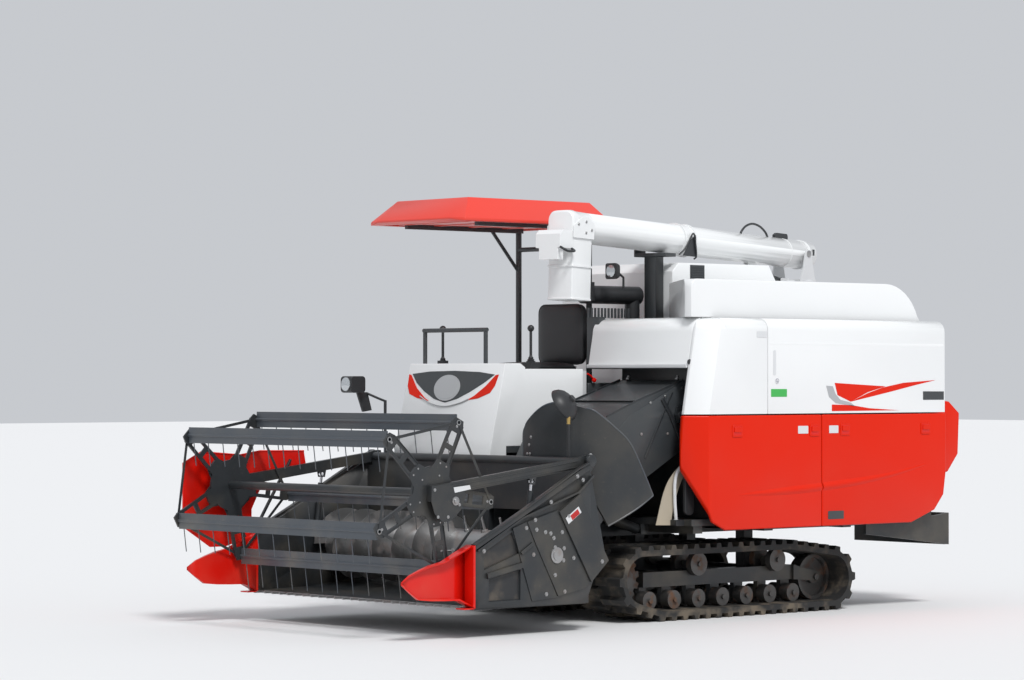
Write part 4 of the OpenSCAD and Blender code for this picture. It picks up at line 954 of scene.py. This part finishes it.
pads = {"seat_cushion": cushion(416, 456, 84, 13) + [190, -420, 1541],
        "seat_back": cushion(436, 396, 66, 11)[..., [2, 0, 1]] + [-108, -420, 1820]}
piping = Skin()
for name, surface in pads.items():
    pad = Skin(surface).make(name, vinyl, "root", angle=60)
    swell = pad.modifiers.new("soft skin", "SUBSURF")
    swell.levels = swell.render_levels = 1
    seam = np.vstack([surface[5], surface[5, :1]])
    piping.add(carried(seam, circle(4, 8), up=Z if name == "seat_cushion" else X))
piping.make("seat_piping", plastic, "root")
foot_rings = ((200, 1500), (200, 1508), (150, 1520), (170, 1530), (190, 1545))
base_piece = Skin(
    np.stack([ring_at(w, w, 16, 160, -420, z) for w, z in foot_rings]),
    slab([(-86, 1501), (60, 1501), (60, 1530), (-66, 1530), (-66, 1700), (-94, 1700), (-94, 1510)],
         -480, 120),
).make("seat_base", plastic, "root", rounding=4)
stands_for(base_piece, "seat")

# %% [markdown]
# ## Around the operator
# Rubber boots close the slots of the levers, a square lamp hangs under the tube, and ribs stiffen
# the roof's underside.

# %% Boots, ribs and square lamp
boot = [[30, 0], [30, 8], [22, 12], [24, 18], [16, 24], [18, 30], [11, 38], [9, 48]]
Skin(*(turned(boot, at, Z, 20) for at in ((785, -635, 1626), (560, -30, 1631)))).make(
    "lever_boots", plastic, "root")
Skin(*(carried([(x, -1048, 2539), (x, -182, 2539)], rounded(46, 5, 2))
       for x in (-60, 240, 540, 800))).make("roof_ribs", canopy_red, "root", rounding=1)
lamp_rings = ((60, -150), (86, -140), (104, -112), (104, -96))
Skin(np.stack([ring_at(w, w, 16, 20, 2230, x)[:, [2, 0, 1]] for w, x in lamp_rings]),
     carried([(-148, 20, 2230), (-210, 20, 2190), (-210, 20, 2120)], circle(8, 12), up=Y),
     ).make("square_lamp", plastic, "root", rounding=3)
Skin(turned([[40, 0], [40, 3], [28, 6], [1, 7]], (-96, 20, 2230), X, 24)).make(
    "square_lens", glass, "root")

# %% Tank vent and rim of its mouth
Skin(slab([(-935, 2193), (-803, 2193), (-803, 2286), (-935, 2286)], 40, 5),
     *(carried([(-928, 47, z), (-810, 47, z)], rounded(6, 7, 2)) for z in range(2208, 2273, 16)),
     ).make("tank_vent", dark, "root", rounding=0.8)
mouth = [(-1450, -850, 2301), (-1000, -850, 2301), (-1000, -400, 2301), (-1450, -400, 2301)]
Skin(*(carried([mouth[i], mouth[(i + 1) % 4]], rounded(18, 18, 4)) for i in range(4))).make(
    "tank_rim", pale, "root")

# %% [markdown]
# ## The far side's tall panel
# On the machine's right a tall red sheet stands on the divider, so that the uncut crop beside it
# doesn't fall into the reel. The photograph shows its upper half behind the reel.

# %% Tall red sheet
Skin(
    slab([(2536, 600), (2536, 1003), (2398, 1070), (2095, 1046), (1938, 1069), (1585, 1064),
          (1569, 981), (1880, 930), (2004, 700), (2004, 500), (2102, 500), (2209, 470),
          (2330, 470)], -1078, 4),
    carried(from_side([(2536, 606), (2536, 1001), (2398, 1068), (2095, 1044), (1938, 1067),
                       (1585, 1062)], -1076), circle(6, 10), up=Y),
).make("tall_panel", deep_red, "header")
Skin(*(carried(from_side(line, -1068), rounded(14, 22, 3), up=Y)
       for line in ([(2006, 530), (1700, 1010)], [(2060, 520), (2300, 1000)])),
     ).make("tall_panel_stays", black, "header", rounding=1)

# %% [markdown]
# ## Right side and rear
# The tank's wall is stiffened by pressed ribs and has a strip window. Upright wires cover the
# radiator, and the body's rear has two ribs and its lamps.

# %% Ribs, strip window, wires and rear lamps
rib = [[-16, 0], [-9, -4], [9, -4], [16, 0], [0, 2]]
Skin(*(carried([(x, -1041, 760), (x, -1041, 1560)], rib, up=Y)
       for x in (-1700, -1400, -1100, -800))).make("tank_ribs", white, "root", angle=60)
Skin(slab([(-1310, 1640), (-1230, 1640), (-1230, 2020), (-1310, 2020)], -1043, 3)).make(
    "tank_window", plastic, "root", rounding=1)
Skin(spread(carried([(0, -1032, 700), (0, -1032, 1440)], circle(1.6, 6), up=Y),
            [(x, 0, 0) for x in range(-560, 90, 22)])).make("radiator_wires", steel, "root")
Skin(*(carried([(-2205, 120, z), (-2205, 860, z)], rounded(12, 40, 5)) for z in (1480, 1700)),
     ).make("rear_ribs", dark, "root", rounding=1)
Skin(*(turned([[34, 0], [34, 10], [28, 16], [1, 18]], (-2391, y, 560), -X, 24) for y in (130, 850)),
     ).make("tail_lamps", lens_red, "root")

# %% Boxes and posts behind the console
Skin(carried([(-40, -60, 1600), (-40, -60, 1930)], rounded(60, 120, 8), up=Y),
     spread(carried([(0, -58, 1925), (0, -58, 1990)], rounded(16, 10, 3), up=Y),
            [(x, 0, 0) for x in range(-330, 60, 30)])).make("grey_boxes", dark, "root", rounding=2)
Skin(carried([(178, 40, 1390), (178, 40, 1580)], rounded(56, 30, 6), up=Y)).make(
    "console_edge", pale, "root")
Skin(pipe([(150, 60, 1560), (120, 62, 1545), (96, 62, 1522)], 6, 10),
     turned([[1, -14], [12, -10], [16, 0], [12, 10], [1, 14]], (92, 62, 1518), Y, 18),
     ).make("red_pull", deep_red, "root")

# %% [markdown]
# ## Floor and light
# A pale floor and an even, bright sky stand in for the field. One wide sun from behind the camera,
# a little to its right, gives the shapes their shadows.

# %% Floor, sky and sun
reach = 80
floor_mesh = bpy.data.meshes.new("floor")
corners = [(-reach, -reach, 0), (reach, -reach, 0), (reach, reach, 0), (-reach, reach, 0)]
floor_mesh.from_pydata(corners, [], [(0, 1, 2, 3)])
floor_mesh.materials.append(Finish("pale floor", (0.80, 0.80, 0.80), 0.8).made)
floor = bpy.data.objects.new("floor", floor_mesh)
bpy.context.scene.collection.objects.link(floor)

sky = bpy.data.worlds.new("studio")
sky.use_nodes = True
bpy.context.scene.world = sky
background = sky.node_tree.nodes["Background"]
background.inputs["Color"].default_value = (0.92, 0.95, 1.0, 1)
background.inputs["Strength"].default_value = 0.62

sunlight = bpy.data.lights.new("high_sun", "SUN")
sunlight.energy, sunlight.angle = 2.2, math.radians(14)
sun = bpy.data.objects.new("high_sun", sunlight)
bpy.context.scene.collection.objects.link(sun)
sun.rotation_euler = Vector((-0.25, -0.62, -0.80)).to_track_quat("-Z", "Y").to_euler()
